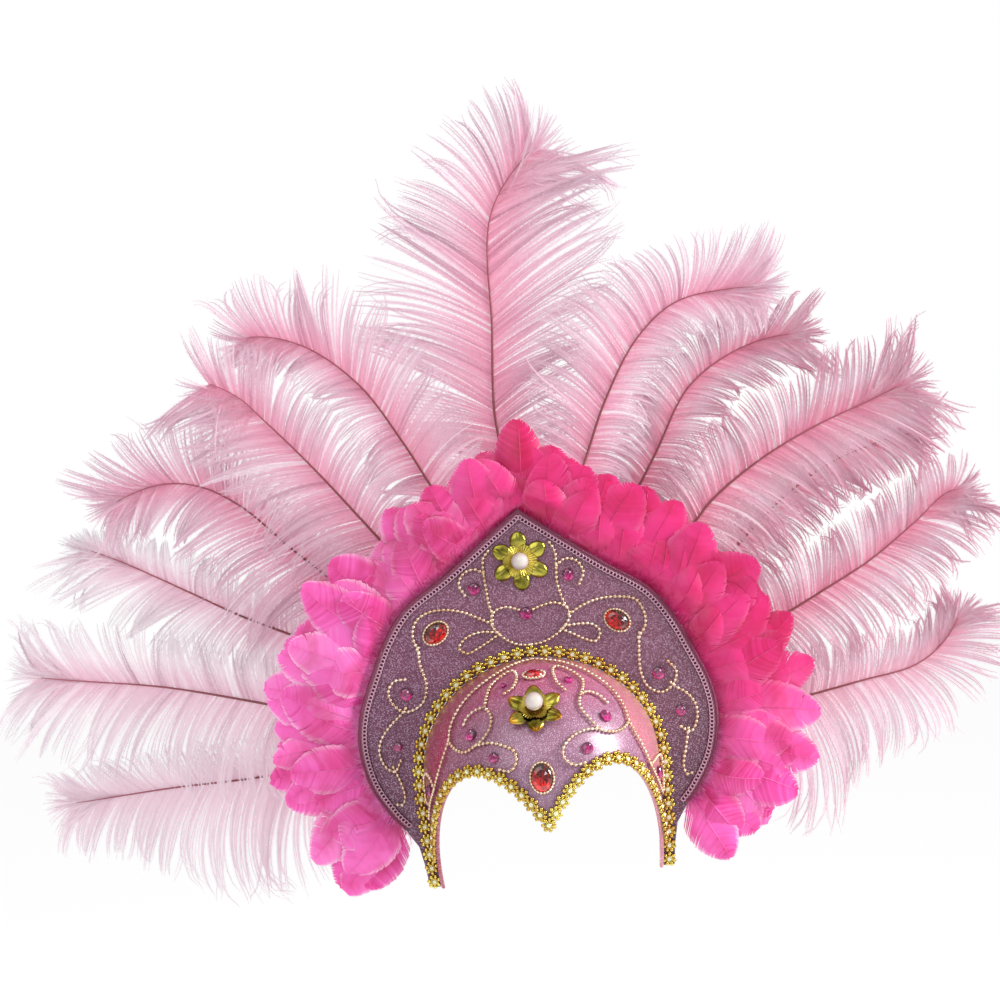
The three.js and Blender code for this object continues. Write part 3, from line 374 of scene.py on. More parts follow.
def girth(z):
    over = np.sqrt(np.clip(1 - ((z - CAP_FOOT_Z) / CAP_HEIGHT) ** 2, 0, 1))
    under = 1 - TIP_TUCK * ((z - CAP_FOOT_Z) / (TIP_Z - CAP_FOOT_Z)) ** 2
    return np.where(z >= CAP_FOOT_Z, over, under)


def cap_normal(points):
    up = np.clip(points[..., 2] - CAP_FOOT_Z, 0, None) / CAP_HEIGHT ** 2
    return unit(np.stack([points[..., 0] / CAP_HALF_WIDTH ** 2, points[..., 1] / CAP_DEPTH ** 2, up], -1))


def cap_points(angle, z, lift=0.0):
    """Points and outward normals on the cap at angles round the head and heights."""
    angle, z = np.broadcast_arrays(np.radians(angle), np.asarray(z, float))
    x = CAP_HALF_WIDTH * np.sin(angle) * girth(z)
    y = -CAP_DEPTH * np.cos(angle) * girth(z)
    points = np.stack([x, y, z], -1)
    normal = cap_normal(points)
    return points + lift * normal, normal


BROW_CURVE = spline(BROW_EDGE)


def brow_height(angle):
    return np.interp(np.abs(angle), BROW_CURVE[:, 0], BROW_CURVE[:, 1])


OUTLINE = at_shares(spline(PLATE_OUTLINE), np.linspace(0, 1, 400))
OUTLINE_OUT = unit(np.gradient(OUTLINE, axis=0))[:, ::-1] * (-1, 1)


def outline_at(u, inset):
    """Point inside the plate's right outline at a share of its length, and the outward direction."""
    at = u * (len(OUTLINE) - 1)
    index = np.arange(len(OUTLINE))
    p = np.array([np.interp(at, index, OUTLINE[:, k]) for k in (0, 1)])
    n = np.array([np.interp(at, index, OUTLINE_OUT[:, k]) for k in (0, 1)])
    n = n / np.linalg.norm(n)
    return p - n * inset, n


def side_outline(inset, end, apex_drop, pitch):
    """Points inside the whole outline from the left leg over the apex to the right leg."""
    right = np.array([outline_at(u, inset)[0] for u in np.linspace(0.02, end, 120)])
    top = np.array([[0, OUTLINE[0, 1] - apex_drop]])
    half = np.vstack([top, right[right[:, 0] > 0.5]])
    whole = np.vstack([half[::-1] * (-1, 1), half[1:]])
    return even(whole, pitch)


# Materials

def srgb(r, g, b):
    """Linear colour of an 8-bit sRGB one."""
    shares = [c / 255 for c in (r, g, b)]
    return tuple(c / 12.92 if c <= 0.04045 else ((c + 0.055) / 1.055) ** 2.4 for c in shares) + (1.0,)


def grey(value):
    return (value, value, value, 1.0)


WHITE = grey(1.0)
BLACK = grey(0.0)


class Paint:
    """A material of one Principled shader and the nodes that feed it."""

    def __init__(self, name, colour, roughness=0.5, metallic=0.0, **sockets):
        self.material = bpy.data.materials.new(name)
        self.material.use_nodes = True
        self.tree = self.material.node_tree
        self.shader = self.tree.nodes["Principled BSDF"]
        self.output = self.tree.nodes["Material Output"]
        self.shader.inputs["Base Color"].default_value = colour
        self.shader.inputs["Roughness"].default_value = roughness
        self.shader.inputs["Metallic"].default_value = metallic
        for label, value in sockets.items():
            self.shader.inputs[label.replace("_", " ")].default_value = value

    def node(self, kind, **settings):
        made = self.tree.nodes.new("ShaderNode" + kind)
        for label, value in settings.items():
            setattr(made, label, value)
        return made

    def link(self, source, target):
        self.tree.links.new(source, target)

    def value(self, name):
        return self.node("Attribute", attribute_name=name).outputs["Fac"]

    def feed(self, socket, value):
        """Sets a socket to a number or colour, or links it to another node's output."""
        if isinstance(value, (int, float, tuple)):
            socket.default_value = value
        else:
            self.link(value, socket)

    def place(self):
        return self.node("TexCoord").outputs["Object"]

    def parts(self, source):
        """The x, y and z of a vector."""
        made = self.node("SeparateXYZ")
        self.link(source, made.inputs["Vector"])
        return [made.outputs[axis] for axis in "XYZ"]

    def shift(self, source, scale, offset):
        return self.math("ADD", self.math("MULTIPLY", source, scale), offset)

    def ramp(self, source, stops):
        ramp = self.node("ValToRGB")
        elements = ramp.color_ramp.elements
        while len(elements) < len(stops):
            elements.new(0.5)
        for element, (at, colour) in zip(elements, stops):
            element.position = at
            element.color = colour
        self.link(source, ramp.inputs["Fac"])
        return ramp.outputs["Color"]

    def fade(self, source, start, end, most=1.0):
        """Black up to start, and a grey or white from end on."""
        return self.ramp(source, [(start, BLACK), (end, grey(most))])

    def math(self, operation, a, b):
        made = self.node("Math", operation=operation)
        self.feed(made.inputs[0], a)
        self.feed(made.inputs[1], b)
        return made.outputs["Value"]

    def mix(self, factor, a, b, blend="MIX"):
        made = self.node("Mix", data_type="RGBA", blend_type=blend)
        for label, value in (("Factor", factor), ("A", a), ("B", b)):
            self.feed(made.inputs[label], value)
        return made.outputs["Result"]

    def times(self, a, b):
        return self.mix(1.0, a, b, "MULTIPLY")

    def texture(self, kind, **inputs):
        """A texture node of the place on the object."""
        made = self.node("Tex" + kind)
        for label, value in inputs.items():
            made.inputs[label].default_value = value
        self.link(self.place(), made.inputs["Vector"])
        return made

    def noise(self, scale, detail):
        return self.texture("Noise", Scale=scale, Detail=detail).outputs["Fac"]

    def facing(self, blend):
        edge = self.node("LayerWeight")
        edge.inputs["Blend"].default_value = blend
        return edge.outputs["Facing"]

    def bump(self, height, strength, distance):
        made = self.node("Bump")
        made.inputs["Strength"].default_value = strength
        made.inputs["Distance"].default_value = distance
        self.link(height, made.inputs["Height"])
        self.link(made.outputs["Normal"], self.shader.inputs["Normal"])

    def colour(self, source):
        self.link(source, self.shader.inputs["Base Color"])

    def glow_through(self, colour, share):
        """Lets light from behind through, as a thin feather does."""
        thin = self.node("BsdfTranslucent")
        self.link(colour, thin.inputs["Color"])
        mixer = self.node("MixShader")
        mixer.inputs["Fac"].default_value = share
        self.link(self.shader.outputs["BSDF"], mixer.inputs[1])
        self.link(thin.outputs["BSDF"], mixer.inputs[2])
        self.link(mixer.outputs["Shader"], self.output.inputs["Surface"])


def feather_paint(name, root, middle, tip, light):
    """Barbs: root to tip colour, paler or deeper by tone, with painted highlight on the palest barbs and on
    the lowest plumes.
    """
    paint = Paint(name, middle, 0.6, Sheen_Weight=0.3, Sheen_Roughness=0.4)
    tone = paint.value("tone")
    base = paint.ramp(paint.value("along"), [(0.0, root), (0.45, middle), (1.0, tip)])
    shade = paint.ramp(tone, [(0.05, (0.7, 0.56, 0.63, 1)), (0.4, (0.98, 0.96, 0.97, 1)), (1.0, WHITE)])
    # Painted highlight: barbs of the highest tone turn towards the light colour.
    highlit = paint.mix(paint.fade(tone, 0.7, 1.0, 0.85), paint.times(base, shade), light)
    # Painted highlight: the lowest plumes grow paler, as where they are most brightly lit.
    height = paint.parts(paint.place())[2]
    low = paint.fade(paint.shift(height, -12.0, 0.2), 0.0, 1.0, 0.6)
    colour = paint.mix(low, highlit, srgb(248, 232, 240))
    paint.colour(colour)
    paint.glow_through(colour, 0.42)
    return paint.material


def ruff_paint():
    """Vanes: a little deeper at the shaft, with a painted highlight along the edges, paler down, and deeper
    towards the right and the top.
    """
    paint = Paint("ruff_hot_pink", srgb(255, 70, 145), 0.36, Sheen_Weight=0.3, Sheen_Roughness=0.35)
    tone = paint.value("tone")
    # The last stop is a painted highlight along each vane's edge.
    across = paint.ramp(paint.value("along"), [(0.0, srgb(255, 180, 228)), (0.22, srgb(255, 160, 222)),
                                               (0.27, srgb(255, 118, 206)), (0.84, srgb(255, 130, 214)),
                                               (1.0, srgb(255, 214, 240))])
    shade = paint.ramp(tone, [(0.0, srgb(234, 150, 196)), (0.35, srgb(254, 228, 244)), (0.8, WHITE)])
    pale = paint.mix(paint.fade(tone, 0.62, 0.95, 0.45), paint.times(across, shade), srgb(255, 160, 214))
    streak = paint.ramp(paint.noise(45.0, 3.0), [(0.35, srgb(226, 140, 170)), (0.55, WHITE)])
    colour = paint.mix(0.6, pale, streak, "MULTIPLY")
    x, _, z = paint.parts(paint.place())
    right = paint.fade(paint.shift(x, 8.0, 1.0), 0.0, 1.0)
    above = paint.fade(paint.shift(z, 12.0, 1.2), 0.0, 1.0)
    deep = paint.times(colour, (0.8, 0.16, 0.36, 1))
    colour = paint.mix(paint.math("MULTIPLY", right, above), colour, deep)
    paint.colour(colour)
    paint.glow_through(colour, 0.22)
    return paint.material


def quill_paint():
    root = srgb(110, 34, 42)
    paint = Paint("plume_quill", root, 0.45, Coat_Weight=0.2)
    base = paint.ramp(paint.value("along"), [(0.5, root), (1.0, srgb(190, 100, 124))])
    paint.colour(paint.mix(paint.noise(900.0, 3.0), base, (0.25, 0.05, 0.06, 1)))
    return paint.material


def glitter_paint(name, paint_base, colour, deep, bright, roughness, coat):
    """Glitter fabric: small flecks of random shade and tilt on the colour that paint_base makes."""
    paint = Paint(name, colour, roughness, 0.1, Coat_Weight=coat, Coat_Roughness=0.2)
    fleck = paint.node("SeparateColor")
    paint.link(paint.texture("Voronoi", Scale=2600.0).outputs["Color"], fleck.inputs["Color"])
    dark = paint.ramp(fleck.outputs["Red"], [(0.0, deep), (0.6, WHITE)])
    sparks = paint.fade(fleck.outputs["Green"], 0.8, 1.0, 0.7)
    paint.colour(paint.mix(sparks, paint.times(paint_base(paint), dark), bright))
    paint.bump(fleck.outputs["Blue"], 0.2, 0.0003)
    return paint.material


def gold_paint(name, colour, deep, roughness, patch, rim):
    """Gold with deeper patches, a shade of its own for each copy by tone, and painted shade at the edges that
    turn from view.
    """
    paint = Paint(name, colour, roughness, 1.0)
    patched = paint.mix(paint.fade(paint.noise(patch, 3.0), 0.35, 0.7), colour, deep)
    toned = paint.mix(paint.value("tone"), paint.mix(0.6, patched, deep), patched)
    # Painted shade: the edges that turn from view darken towards this colour.
    dark = tuple(rim * c for c in deep[:3]) + (1.0,)
    paint.colour(paint.mix(paint.facing(0.32), toned, dark))
    return paint.material


def gem_paint(name, stops, glint):
    """Cut glass: tone runs through the stops as the painted light and shade of the facets, and along marks
    the facet with the painted glint.
    """
    paint = Paint(name, stops[1], 0.07, Coat_Weight=1.0, Coat_Roughness=0.02, IOR=1.6)
    shade = paint.ramp(paint.value("tone"), list(zip((0.15, 0.5, 0.95), stops)))
    paint.colour(paint.mix(paint.value("along"), shade, glint))
    return paint.material


def petal_paint(name, end):
    """Thin gilt metal, deeper at the petals' foot, with a colour of its own at their ends."""
    paint = Paint(name, srgb(190, 170, 50), 0.2, 1.0)
    run = paint.ramp(paint.value("along"), [(0.0, srgb(130, 84, 22)), (0.4, srgb(212, 190, 84)),
                                            (0.7, srgb(184, 176, 78)), (1.0, end)])
    patches = paint.ramp(paint.noise(120.0, 2.0), [(0.4, WHITE), (0.66, (0.24, 0.22, 0.14, 1))])
    paint.colour(paint.times(run, patches))
    return paint.material


def pearl_paint():
    paint = Paint("pearl", srgb(222, 208, 198), 0.25, Coat_Weight=0.8, Coat_Roughness=0.08)
    # Painted shade: greyer, deeper pink towards the edges that turn from view.
    paint.colour(paint.mix(paint.facing(0.35), srgb(214, 204, 196), srgb(150, 108, 112)))
    return paint.material


# Feathers

BARB_PITCH = 1.15
BARB_HALF_WIDTH = 0.58
BARB_POINTS = 10
BARBULE_PITCH = 1.3
BARBULE_REACH = 4.8
BARBULE_WIDTH = 0.5
VANE_UNDER_RUFF = 26.0  # barbs begin this far before the spine's start
RACHIS_END = 0.88       # the spine's last stretch is barbs alone
BARB_OVER = 14.0        # how far barbs may reach past the box of the solids
WISP_PITCH = 6.0        # barbs cling together in wisps about this far apart
BARB_ANGLE = 60.0       # between barb and rachis where both start, in degrees
BARB_CLOSING = 20.0     # how much smaller that angle is at the rachis's end
BARB_BEND = 34.0        # how far a barb bends away from the rachis along its length
HOOK_BEND = 60.0        # how far the tips of the curliest wisps turn over
TUFT_BARBS = 56
RACHIS_RADIUS = 0.9
RACHIS_TIP = 0.2

# The pale colours of the lowest left plumes are partly their own paler colour and partly painted highlight
# where they are most brightly lit.
PLUME_TONES = {
    "pale": (srgb(248, 214, 228), srgb(252, 242, 246), srgb(236, 230, 234), srgb(255, 252, 254)),
    "pink": (srgb(244, 176, 202), srgb(244, 212, 226), srgb(230, 206, 218), srgb(250, 244, 248)),
    "rose": (srgb(236, 154, 182), srgb(230, 196, 210), srgb(208, 140, 166), srgb(244, 232, 238)),
}


def fan_lean(x, z):
    u = np.clip((np.hypot(x, z) - FAN_NEAR) / (FAN_FAR - FAN_NEAR), 0, 1)
    return FAN_LEAN * np.sin(np.pi * u)


def table_at(values, u):
    return np.interp(u, np.linspace(0, 1, len(values)), values)


def along_lines(lines, rows, s):
    """Points on many lines of equal count: row numbers, and shares of each one's length."""
    last = lines.shape[1] - 1
    at = s * last
    low = np.minimum(at.astype(int), last - 1)
    part = (at - low)[:, None]
    return lines[rows, low] * (1 - part) + lines[rows, low + 1] * part


def kept_in_box(rnd, at):
    """Shortens the barbs that would pass the solid plumes' box by more than barbs may."""
    low, high = np.array(cad_box)[:, [0, 2]] / MM + np.array([[-BARB_OVER], [BARB_OVER]])
    away = at - at[:, :1]
    room = np.where(away > 0, high - at[:, :1], at[:, :1] - low)
    share = (room / np.maximum(np.abs(away), 1)).min((1, 2)) * rnd.uniform(0.82, 1, len(at))
    return at[:, :1] + away * np.minimum(share, 1)[:, None, None]


def barb_curves(ripe, low, flow, mine, own):
    """The course of each barb along and away from the rachis, as shares of its own length."""
    begin = BARB_ANGLE - BARB_CLOSING * ripe ** 1.5 + 4 * flow + 3 * (own[:, 0] - 0.5)
    end = begin + (BARB_BEND + 18 * low) * (1 - 0.5 * ripe) + 8 * flow + 16 * (mine[:, 1] - 0.5)
    hook = HOOK_BEND * np.clip(mine[:, 4] - 0.6, 0, None) / 0.4 * np.sign(own[:, 0] - 0.4)
    s = np.linspace(0, 1, BARB_POINTS)
    angle = np.radians(begin[:, None] + (end - begin)[:, None] * s ** 1.3 + hook[:, None] * s ** 5)
    steps = np.stack([np.cos(angle), np.sin(angle)], -1) / (BARB_POINTS - 1)
    return np.concatenate([np.zeros((len(ripe), 1, 2)), np.cumsum(steps[:, 1:], axis=1)], 1)


def gathered(at, wisp, pull):
    """Draws the barbs of each wisp towards the middle of their tips."""
    tips = [at[wisp == w, -1] for w in range(wisp.max() + 1)]
    middle = np.array([tip.mean(0) if len(tip) else (0, 0) for tip in tips])
    share = pull[:, None, None] * (np.linspace(0, 1, BARB_POINTS) ** 3.5)[None, :, None]
    return at + (middle[wisp][:, None] - at[:, -1:]) * share


def barb_lines(rnd, path, start, reach_table, sign):
    """Centre lines of one side's barbs in the plane, with the length along the path where each is rooted.
    The reach table runs from start to the path's end."""
    total = lengths(path)[-1]
    vane = total - start
    roots = np.arange(start - VANE_UNDER_RUFF, start + RACHIS_END * vane, BARB_PITCH)
    roots = roots + rnd.normal(0, 0.2 * BARB_PITCH, len(roots))
    foot = at_shares(path, roots / total)
    t = unit(at_shares(path, (roots + 2) / total) - at_shares(path, (roots - 2) / total))
    n = np.stack([-t[:, 1], t[:, 0]], 1) * sign
    wisp = np.floor((roots + VANE_UNDER_RUFF) / WISP_PITCH + rnd.uniform()).astype(int)
    wisp = wisp - wisp.min()
    mine = rnd.uniform(0, 1, (wisp.max() + 1, 5))[wisp]
    own = rnd.uniform(0, 1, (len(roots), 4))
    ripe = np.clip((roots - start) / (RACHIS_END * vane), 0, 1)
    low = np.clip(-n[:, 1], 0, 1)
    flow = np.interp(roots, roots[::16], rnd.normal(0, 1, len(roots[::16])))
    flat = barb_curves(ripe, low, flow, mine, own)
    ahead = roots + 0.5 * table_at(reach_table, ripe)
    reach = table_at(reach_table, np.clip((ahead - start) / vane, 0, 1))
    loose = 0.82 + 0.16 * mine[:, 2] + 0.2 * own[:, 1]
    reach = reach * loose * (1 + 0.4 * (1 - ripe) ** 4 + 0.5 * ripe ** 5)
    size = np.minimum(reach / np.maximum(flat[:, -1, 1], 0.35), 1.9 * reach + 8)
    room = (total - roots + 8) * (0.8 + 0.4 * own[:, 1])
    size = size * np.minimum(1, room / np.maximum(size * flat[:, -1, 0], 1))
    at = foot[:, None] + size[:, None, None] * (flat[..., :1] * t[:, None] + flat[..., 1:] * n[:, None])
    at = kept_in_box(rnd, gathered(at, wisp, 0.7 * mine[:, 3]))
    tone = 0.1 + 0.3 * mine[:, 2] + 0.6 * own[:, 2]
    curl = (mine[:, 1] - 0.5) * 10 + (own[:, 3] - 0.5) * 3
    return at, roots, size, tone, curl


def tuft_lines(rnd, path, start, left, right):
    """Barbs that fan out from the rachis's end and round off the plume."""
    total = lengths(path)[-1]
    vane = total - start
    roots = start + vane * (RACHIS_END - 0.2 * rnd.uniform(0, 1, TUFT_BARBS) ** 1.5)
    foot = at_shares(path, roots / total)
    end = at_shares(path, [(start + RACHIS_END * vane) / total, 1.0])
    t = unit(end[1] - end[0])
    side = np.array([-t[1], t[0]])
    fan = np.linspace(-1, 1, TUFT_BARBS) + rnd.normal(0, 0.05, TUFT_BARBS)
    room = total - roots
    s = np.linspace(0, 1, BARB_POINTS)
    out = fan * np.where(fan > 0, table_at(left, 0.86), table_at(right, 0.86)) * 1.05
    forward = room * (1 - 0.35 * fan ** 2) * rnd.uniform(0.8, 1.08, TUFT_BARBS)
    at = foot[:, None] + forward[:, None, None] * (s ** 0.9)[None, :, None] * t
    at = at + (out[:, None] * s[None] ** 1.5)[..., None] * side
    at = kept_in_box(rnd, at)
    tone = rnd.uniform(0.25, 0.7, TUFT_BARBS)
    return at, roots, np.hypot(forward, out), tone, rnd.normal(0, 2, TUFT_BARBS)


def add_barbs(shape, rnd, made, depth_at):
    """Ribbons for the barbs and slender triangles for the barbules on both of their sides."""
    at, roots, size, tone, curl = made
    count = len(at)
    s = np.linspace(0, 1, BARB_POINTS)
    lean = fan_lean(at[..., 0], at[..., 1])
    depth = depth_at(roots)[:, None] + lean - lean[:, :1] + curl[:, None] * s[None] ** 2
    lines = at_depth(at, depth)
    t = unit(np.gradient(lines, axis=1))
    facing = unit(np.stack([rnd.normal(0, 0.35, count), -np.ones(count), rnd.normal(0, 0.35, count)], 1))
    across = unit(np.cross(t, facing[:, None]))
    add_ribbons(shape, lines, across, 0.1 + BARB_HALF_WIDTH * (1 - s ** 2.2), s, tone[:, None])
    stations = np.maximum((size / BARBULE_PITCH).astype(int), 3)
    rows = np.repeat(np.arange(count), stations)
    rank = np.arange(len(rows)) - np.repeat(np.cumsum(stations) - stations, stations)
    for sign in (-1, 1):
        u = np.clip((rank + rnd.uniform(0, 1, len(rows))) / stations[rows], 0.01, 0.99)
        foot = along_lines(lines, rows, u)
        tangent = unit(along_lines(t, rows, u))
        side = unit(along_lines(across, rows, u)) * sign
        turn = np.radians(rnd.uniform(26, 46, len(rows)))[:, None]
        lift = rnd.normal(0, 0.2, len(rows))[:, None] * np.array([0, 1, 0])
        out = unit(tangent * np.cos(turn) + side * np.sin(turn) + lift)
        swell = (0.45 + 0.55 * np.sin(np.pi * u ** 0.6)) * (1 - 0.75 * u ** 5)
        reach = BARBULE_REACH * swell * rnd.uniform(0.7, 1.1, len(rows))
        shade = np.clip(tone[rows] + rnd.normal(0, 0.07, len(rows)), 0, 1)
        add_spines(shape, foot, tangent, out, BARBULE_WIDTH, reach, u, shade)


def make_plume(number, layer, tone, root, spine_points, left, right):
    rnd = np.random.default_rng(100 + number)
    layer_y = LAYER_FIRST_Y + LAYER_STEP * layer
    quill = np.linspace(root, spine_points[0], 20, endpoint=False)
    spine = even(spline(spine_points), 2.0)
    path = np.vstack([quill, spine])
    start = lengths(quill)[-1] + np.linalg.norm(spine[0] - quill[-1])
    total = lengths(path)[-1]

    def depth_at(where):
        p = at_shares(path, np.clip(np.asarray(where) / total, 0, 1))
        out = np.clip(np.asarray(where) / (0.9 * start), 0, 1)
        return QUILL_ROOT_Y + (layer_y + fan_lean(p[:, 0], p[:, 1]) - QUILL_ROOT_Y) * out

    shape = Shape()
    for sign, table in ((1, left), (-1, right)):
        add_barbs(shape, rnd, barb_lines(rnd, path, start, table, sign), depth_at)
    add_barbs(shape, rnd, tuft_lines(rnd, path, start, left, right), depth_at)
    stops = np.concatenate([np.linspace(0, start, 12, endpoint=False),
                            np.linspace(start, start + RACHIS_END * (total - start), 60)])
    flat = at_shares(path, stops / total)
    line = at_depth(flat, depth_at(stops) - RACHIS_RADIUS)
    u = stops / stops[-1]
    add_tube(shape, line, RACHIS_RADIUS * (1 - u) ** 0.7 + RACHIS_TIP, slot=1, along=u)
    piece(shape, f"plume_{number}_barbs", [MATERIALS[tone], MATERIALS["quill"]],
          [f"plume_{number}"])


# Ruff

VANE_BARBS = 38
VANE_POINTS = 5
DOWN_HAIRS = 28
TAPE_END = 0.845
TAPE_HALF_WIDTH = 3.5
TAPE_HALF_THICK = 0.8
VANE_WIDEST = 0.55      # share of a vane's length where it is widest
RUFF_FRONT_Y = 4.5
RUFF_BACK_Y = 7.8
DOWN_REACH = 32.0
FEATHER_SPREAD = 14.0   # degrees that each feather leans away from the middle
FEATHER_STRAY = 18.0

# Rows of feathers in each segment: count, share of its reach, how far forward, and a vane's half width
RUFF_ROWS = [(7, 1.04, 0.0, 19.5), (6, 0.8, -3.5, 16.5)]


def tape_at(u):
    """Point on the tape behind the plate's edge, and the way outward: -1 left leg, 0 apex, 1 right leg."""
    side = -1 if u < 0 else 1
    p, n = outline_at(max(0.002, TAPE_END * abs(u)), 0)
    blend = min(1.0, abs(u) / 0.1)
    p = p - n * BAND_INSET
    out = np.array([n[0] * blend, n[1]])
    out = out / np.linalg.norm(out)
    return np.array([p[0] * (blend if blend < 1 else 1) * side, p[1]]), out * (side, 1)


def vane_point(root, out, side, length, half, arch, cup, u, v):
    """Point of a cupped vane: u along it, v across from -1 to 1. Its shaft curves with its cup."""
    low = 0.45 + 0.55 * np.sin(np.pi / 2 * np.clip(u / VANE_WIDEST, 0, 1))
    high = np.clip(1 - ((u - VANE_WIDEST) / (1 - VANE_WIDEST)) ** 2, 0, 1) ** 0.62
    taper = np.where(u < VANE_WIDEST, low, high)
    x = v * half * taper + (cup - 4) * 4.5 * u ** 2
    flat = root + out * (length * u)[..., None] + side * x[..., None]
    return at_depth(flat, arch(u) + cup * (v * taper) ** 2)


def behind_plate(lines, root, out):
    """Keeps lines behind the plate's board, and lets them come forward beyond its edge."""
    outside = (lines[..., 0] - root[0]) * out[0] + (lines[..., 2] - root[1]) * out[1] - BAND_INSET
    back = PLATE_THICK + CLEAR - 1.2 * np.maximum(outside - 2, 0)
    return np.stack([lines[..., 0], np.maximum(lines[..., 1], back), lines[..., 2]], -1)


def add_ruff_feather(shape, rnd, root, away, out, length, half, arch, cup):
    side = np.array([-out[1], out[0]])
    v = np.linspace(0, 1, VANE_POINTS)
    base = np.linspace(0.1, 0.97, VANE_BARBS)
    shade = rnd.uniform(0.05, 0.85)
    for sign in (-1, 1):
        gaps = np.zeros(VANE_BARBS)
        for split in rnd.integers(4, VANE_BARBS - 4, rnd.integers(0, 3)):
            gaps[split:] += rnd.uniform(0.005, 0.03)
        sweep = 0.34 * (1 - base)
        u = base[:, None] + sweep[:, None] * v[None] ** 1.15 + gaps[:, None] * v[None] ** 2 * 0.8
        u = np.clip(u, 0, 0.999)
        across = np.broadcast_to(v * sign, u.shape) * (0.96 + 0.08 * rnd.uniform(0, 1, (VANE_BARBS, 1)))
        lines = vane_point(root, out, side, length, half, arch, cup, u, across)
        nxt = vane_point(root, out, side, length, half, arch, cup, np.clip(u + 0.01, 0, 1), across)
        direction = unit(nxt - lines + 1e-9)
        pitch = length * (base[1] - base[0])
        width = 0.56 * pitch * (1 - 0.3 * v ** 3)
        tone = np.clip(shade + rnd.normal(0, 0.09, (VANE_BARBS, 1)), 0, 1)
        lines = lines + rnd.normal(0, 0.05, (VANE_BARBS, 1, 1)) * np.array([0, 1, 0])
        add_ribbons(shape, behind_plate(lines, root, away), direction, width, 0.25 + 0.75 * v, tone)
    stops = np.linspace(0, 0.95, 12)
    line = vane_point(root, out, side, length, half, arch, cup, stops, np.zeros(12))
    shaft = behind_plate(line, root, away) - (0, 0.3, 0)
    add_tube(shape, shaft, np.linspace(0.55, 0.12, 12), sides=4, along=np.full(12, 0.3), tone=0.8)


def add_down(shape, rnd, root, away, out, length, y, count):
    """Fluffy hairs at a feather's foot."""
    angle = rnd.uniform(-75, 75, count)
    direction = np.array([turned(out, a) for a in angle])
    reach = length * rnd.uniform(0.5, 1.0, count) * (1 - 0.3 * np.abs(angle) / 75)
    s = np.linspace(0, 1, 5)
    bend = np.stack([-direction[:, 1], direction[:, 0]], 1) * rnd.normal(0, 0.25, (count, 1))
    run = s[None, :, None]
    flat = root + reach[:, None, None] * (direction[:, None] * run + bend[:, None] * run ** 2)
    depth = y + rnd.normal(0, 2.0, (count, 1)) * s ** 1.5 - 2.2 * s
    lines = behind_plate(at_depth(flat, depth), root, away)
    t = unit(np.gradient(lines, axis=1))
    across = unit(np.cross(t, np.array([0.0, -1.0, 0.0])))
    tone = rnd.uniform(0.5, 1.0, (count, 1))
    add_ribbons(shape, lines, across, 0.28 * (1 - 0.7 * s), 0.05 + 0.3 * s, tone)
    rows = np.repeat(np.arange(count), 5)
    for sign in (-1, 1):
        u = rnd.uniform(0.25, 0.98, len(rows))
        foot = along_lines(lines, rows, u)
        tangent = unit(along_lines(t, rows, u))
        lean = np.radians(rnd.uniform(30, 60, len(rows)))[:, None]
        hair = unit(tangent * np.cos(lean) + unit(along_lines(across, rows, u)) * sign * np.sin(lean))
        length = rnd.uniform(1.5, 4.0, len(rows))
        add_spines(shape, foot, tangent, hair, 0.4, length, 0.1 + 0.2 * u, tone[rows, 0])


def make_ruff(number, reach, turn):
    behind = number % 2 == 0
    span = 2 / len(RUFF)
    start = -1 + span * (number - 1)
    rnd = np.random.default_rng(499 + number)
    shape = Shape()
    plane = RUFF_BACK_Y if behind else RUFF_FRONT_Y
    for count, share, forward, half in RUFF_ROWS:
        for i in range(count):
            part = (i + 0.5 + rnd.uniform(-0.15, 0.15)) / count
            u = start + span * part
            root, out = tape_at(u)
            hand = 1 if u > 0 else -1
            to_leg = 1 - part if u < 0 else part
            swing = turn * to_leg * hand + rnd.normal(0, FEATHER_STRAY) + FEATHER_SPREAD * hand
            direction = turned(out, swing)
            length = (reach * share + BAND_INSET) * rnd.uniform(0.84, 1.1)
            bulge = rnd.uniform(3, 13) - forward
            tip = (4.0 if behind else -4.0) + forward + rnd.uniform(-5, 5)
            foot_y = plane + rnd.uniform(-0.4, 0.4)

            def arch(w, foot_y=foot_y, bulge=bulge, tip=tip):
                swell = np.sin(np.pi * np.clip(w, 0, 1)) ** 1.2
                return foot_y + (tip - foot_y) * w ** 2 - bulge * swell * 0.8

            width = half * rnd.uniform(0.85, 1.05)
            add_ruff_feather(shape, rnd, root, out, direction, length, width, arch, rnd.uniform(1, 7))
            add_down(shape, rnd, root, out, direction, DOWN_REACH * share, foot_y - 2 + forward, DOWN_HAIRS)
    tape = np.array([tape_at(start + span * w)[0] for w in np.linspace(0.02, 0.98, 10)])
    line = at_depth(tape, PLATE_THICK + CLEAR + TAPE_HALF_THICK)
    across = np.cross(unit(np.gradient(line, axis=0)), (0, 1, 0))
    for y in (-TAPE_HALF_THICK, TAPE_HALF_THICK):
        add_ribbons(shape, line[None] + (0, y, 0), across[None], TAPE_HALF_WIDTH, 0.5, 0.5, slot=1)
    piece(shape, f"ruff_{number}_feathers", [MATERIALS["ruff"], MATERIALS["tape"]],
          [f"ruff_{number}"])


MATERIALS = {tone: feather_paint("plume_" + tone, *colours) for tone, colours in PLUME_TONES.items()}
MATERIALS["ruff"] = ruff_paint()
MATERIALS["tape"] = Paint("ruff_tape", srgb(200, 60, 120), 0.85).material
MATERIALS["quill"] = quill_paint()

for plume_number, plume in enumerate(PLUMES, 1):
    make_plume(plume_number, *plume)
for ruff_number, segment in enumerate(RUFF, 1):
    make_ruff(ruff_number, *segment)


# Small forms that are copied

def basis(normal, along):
    """Rows x, y and z of frames whose z is the normal and whose x is as near to along as it can be."""
    z = unit(np.asarray(normal, float))
    y = unit(np.cross(z, along))
    return np.stack([np.cross(y, z), y, z], -2)


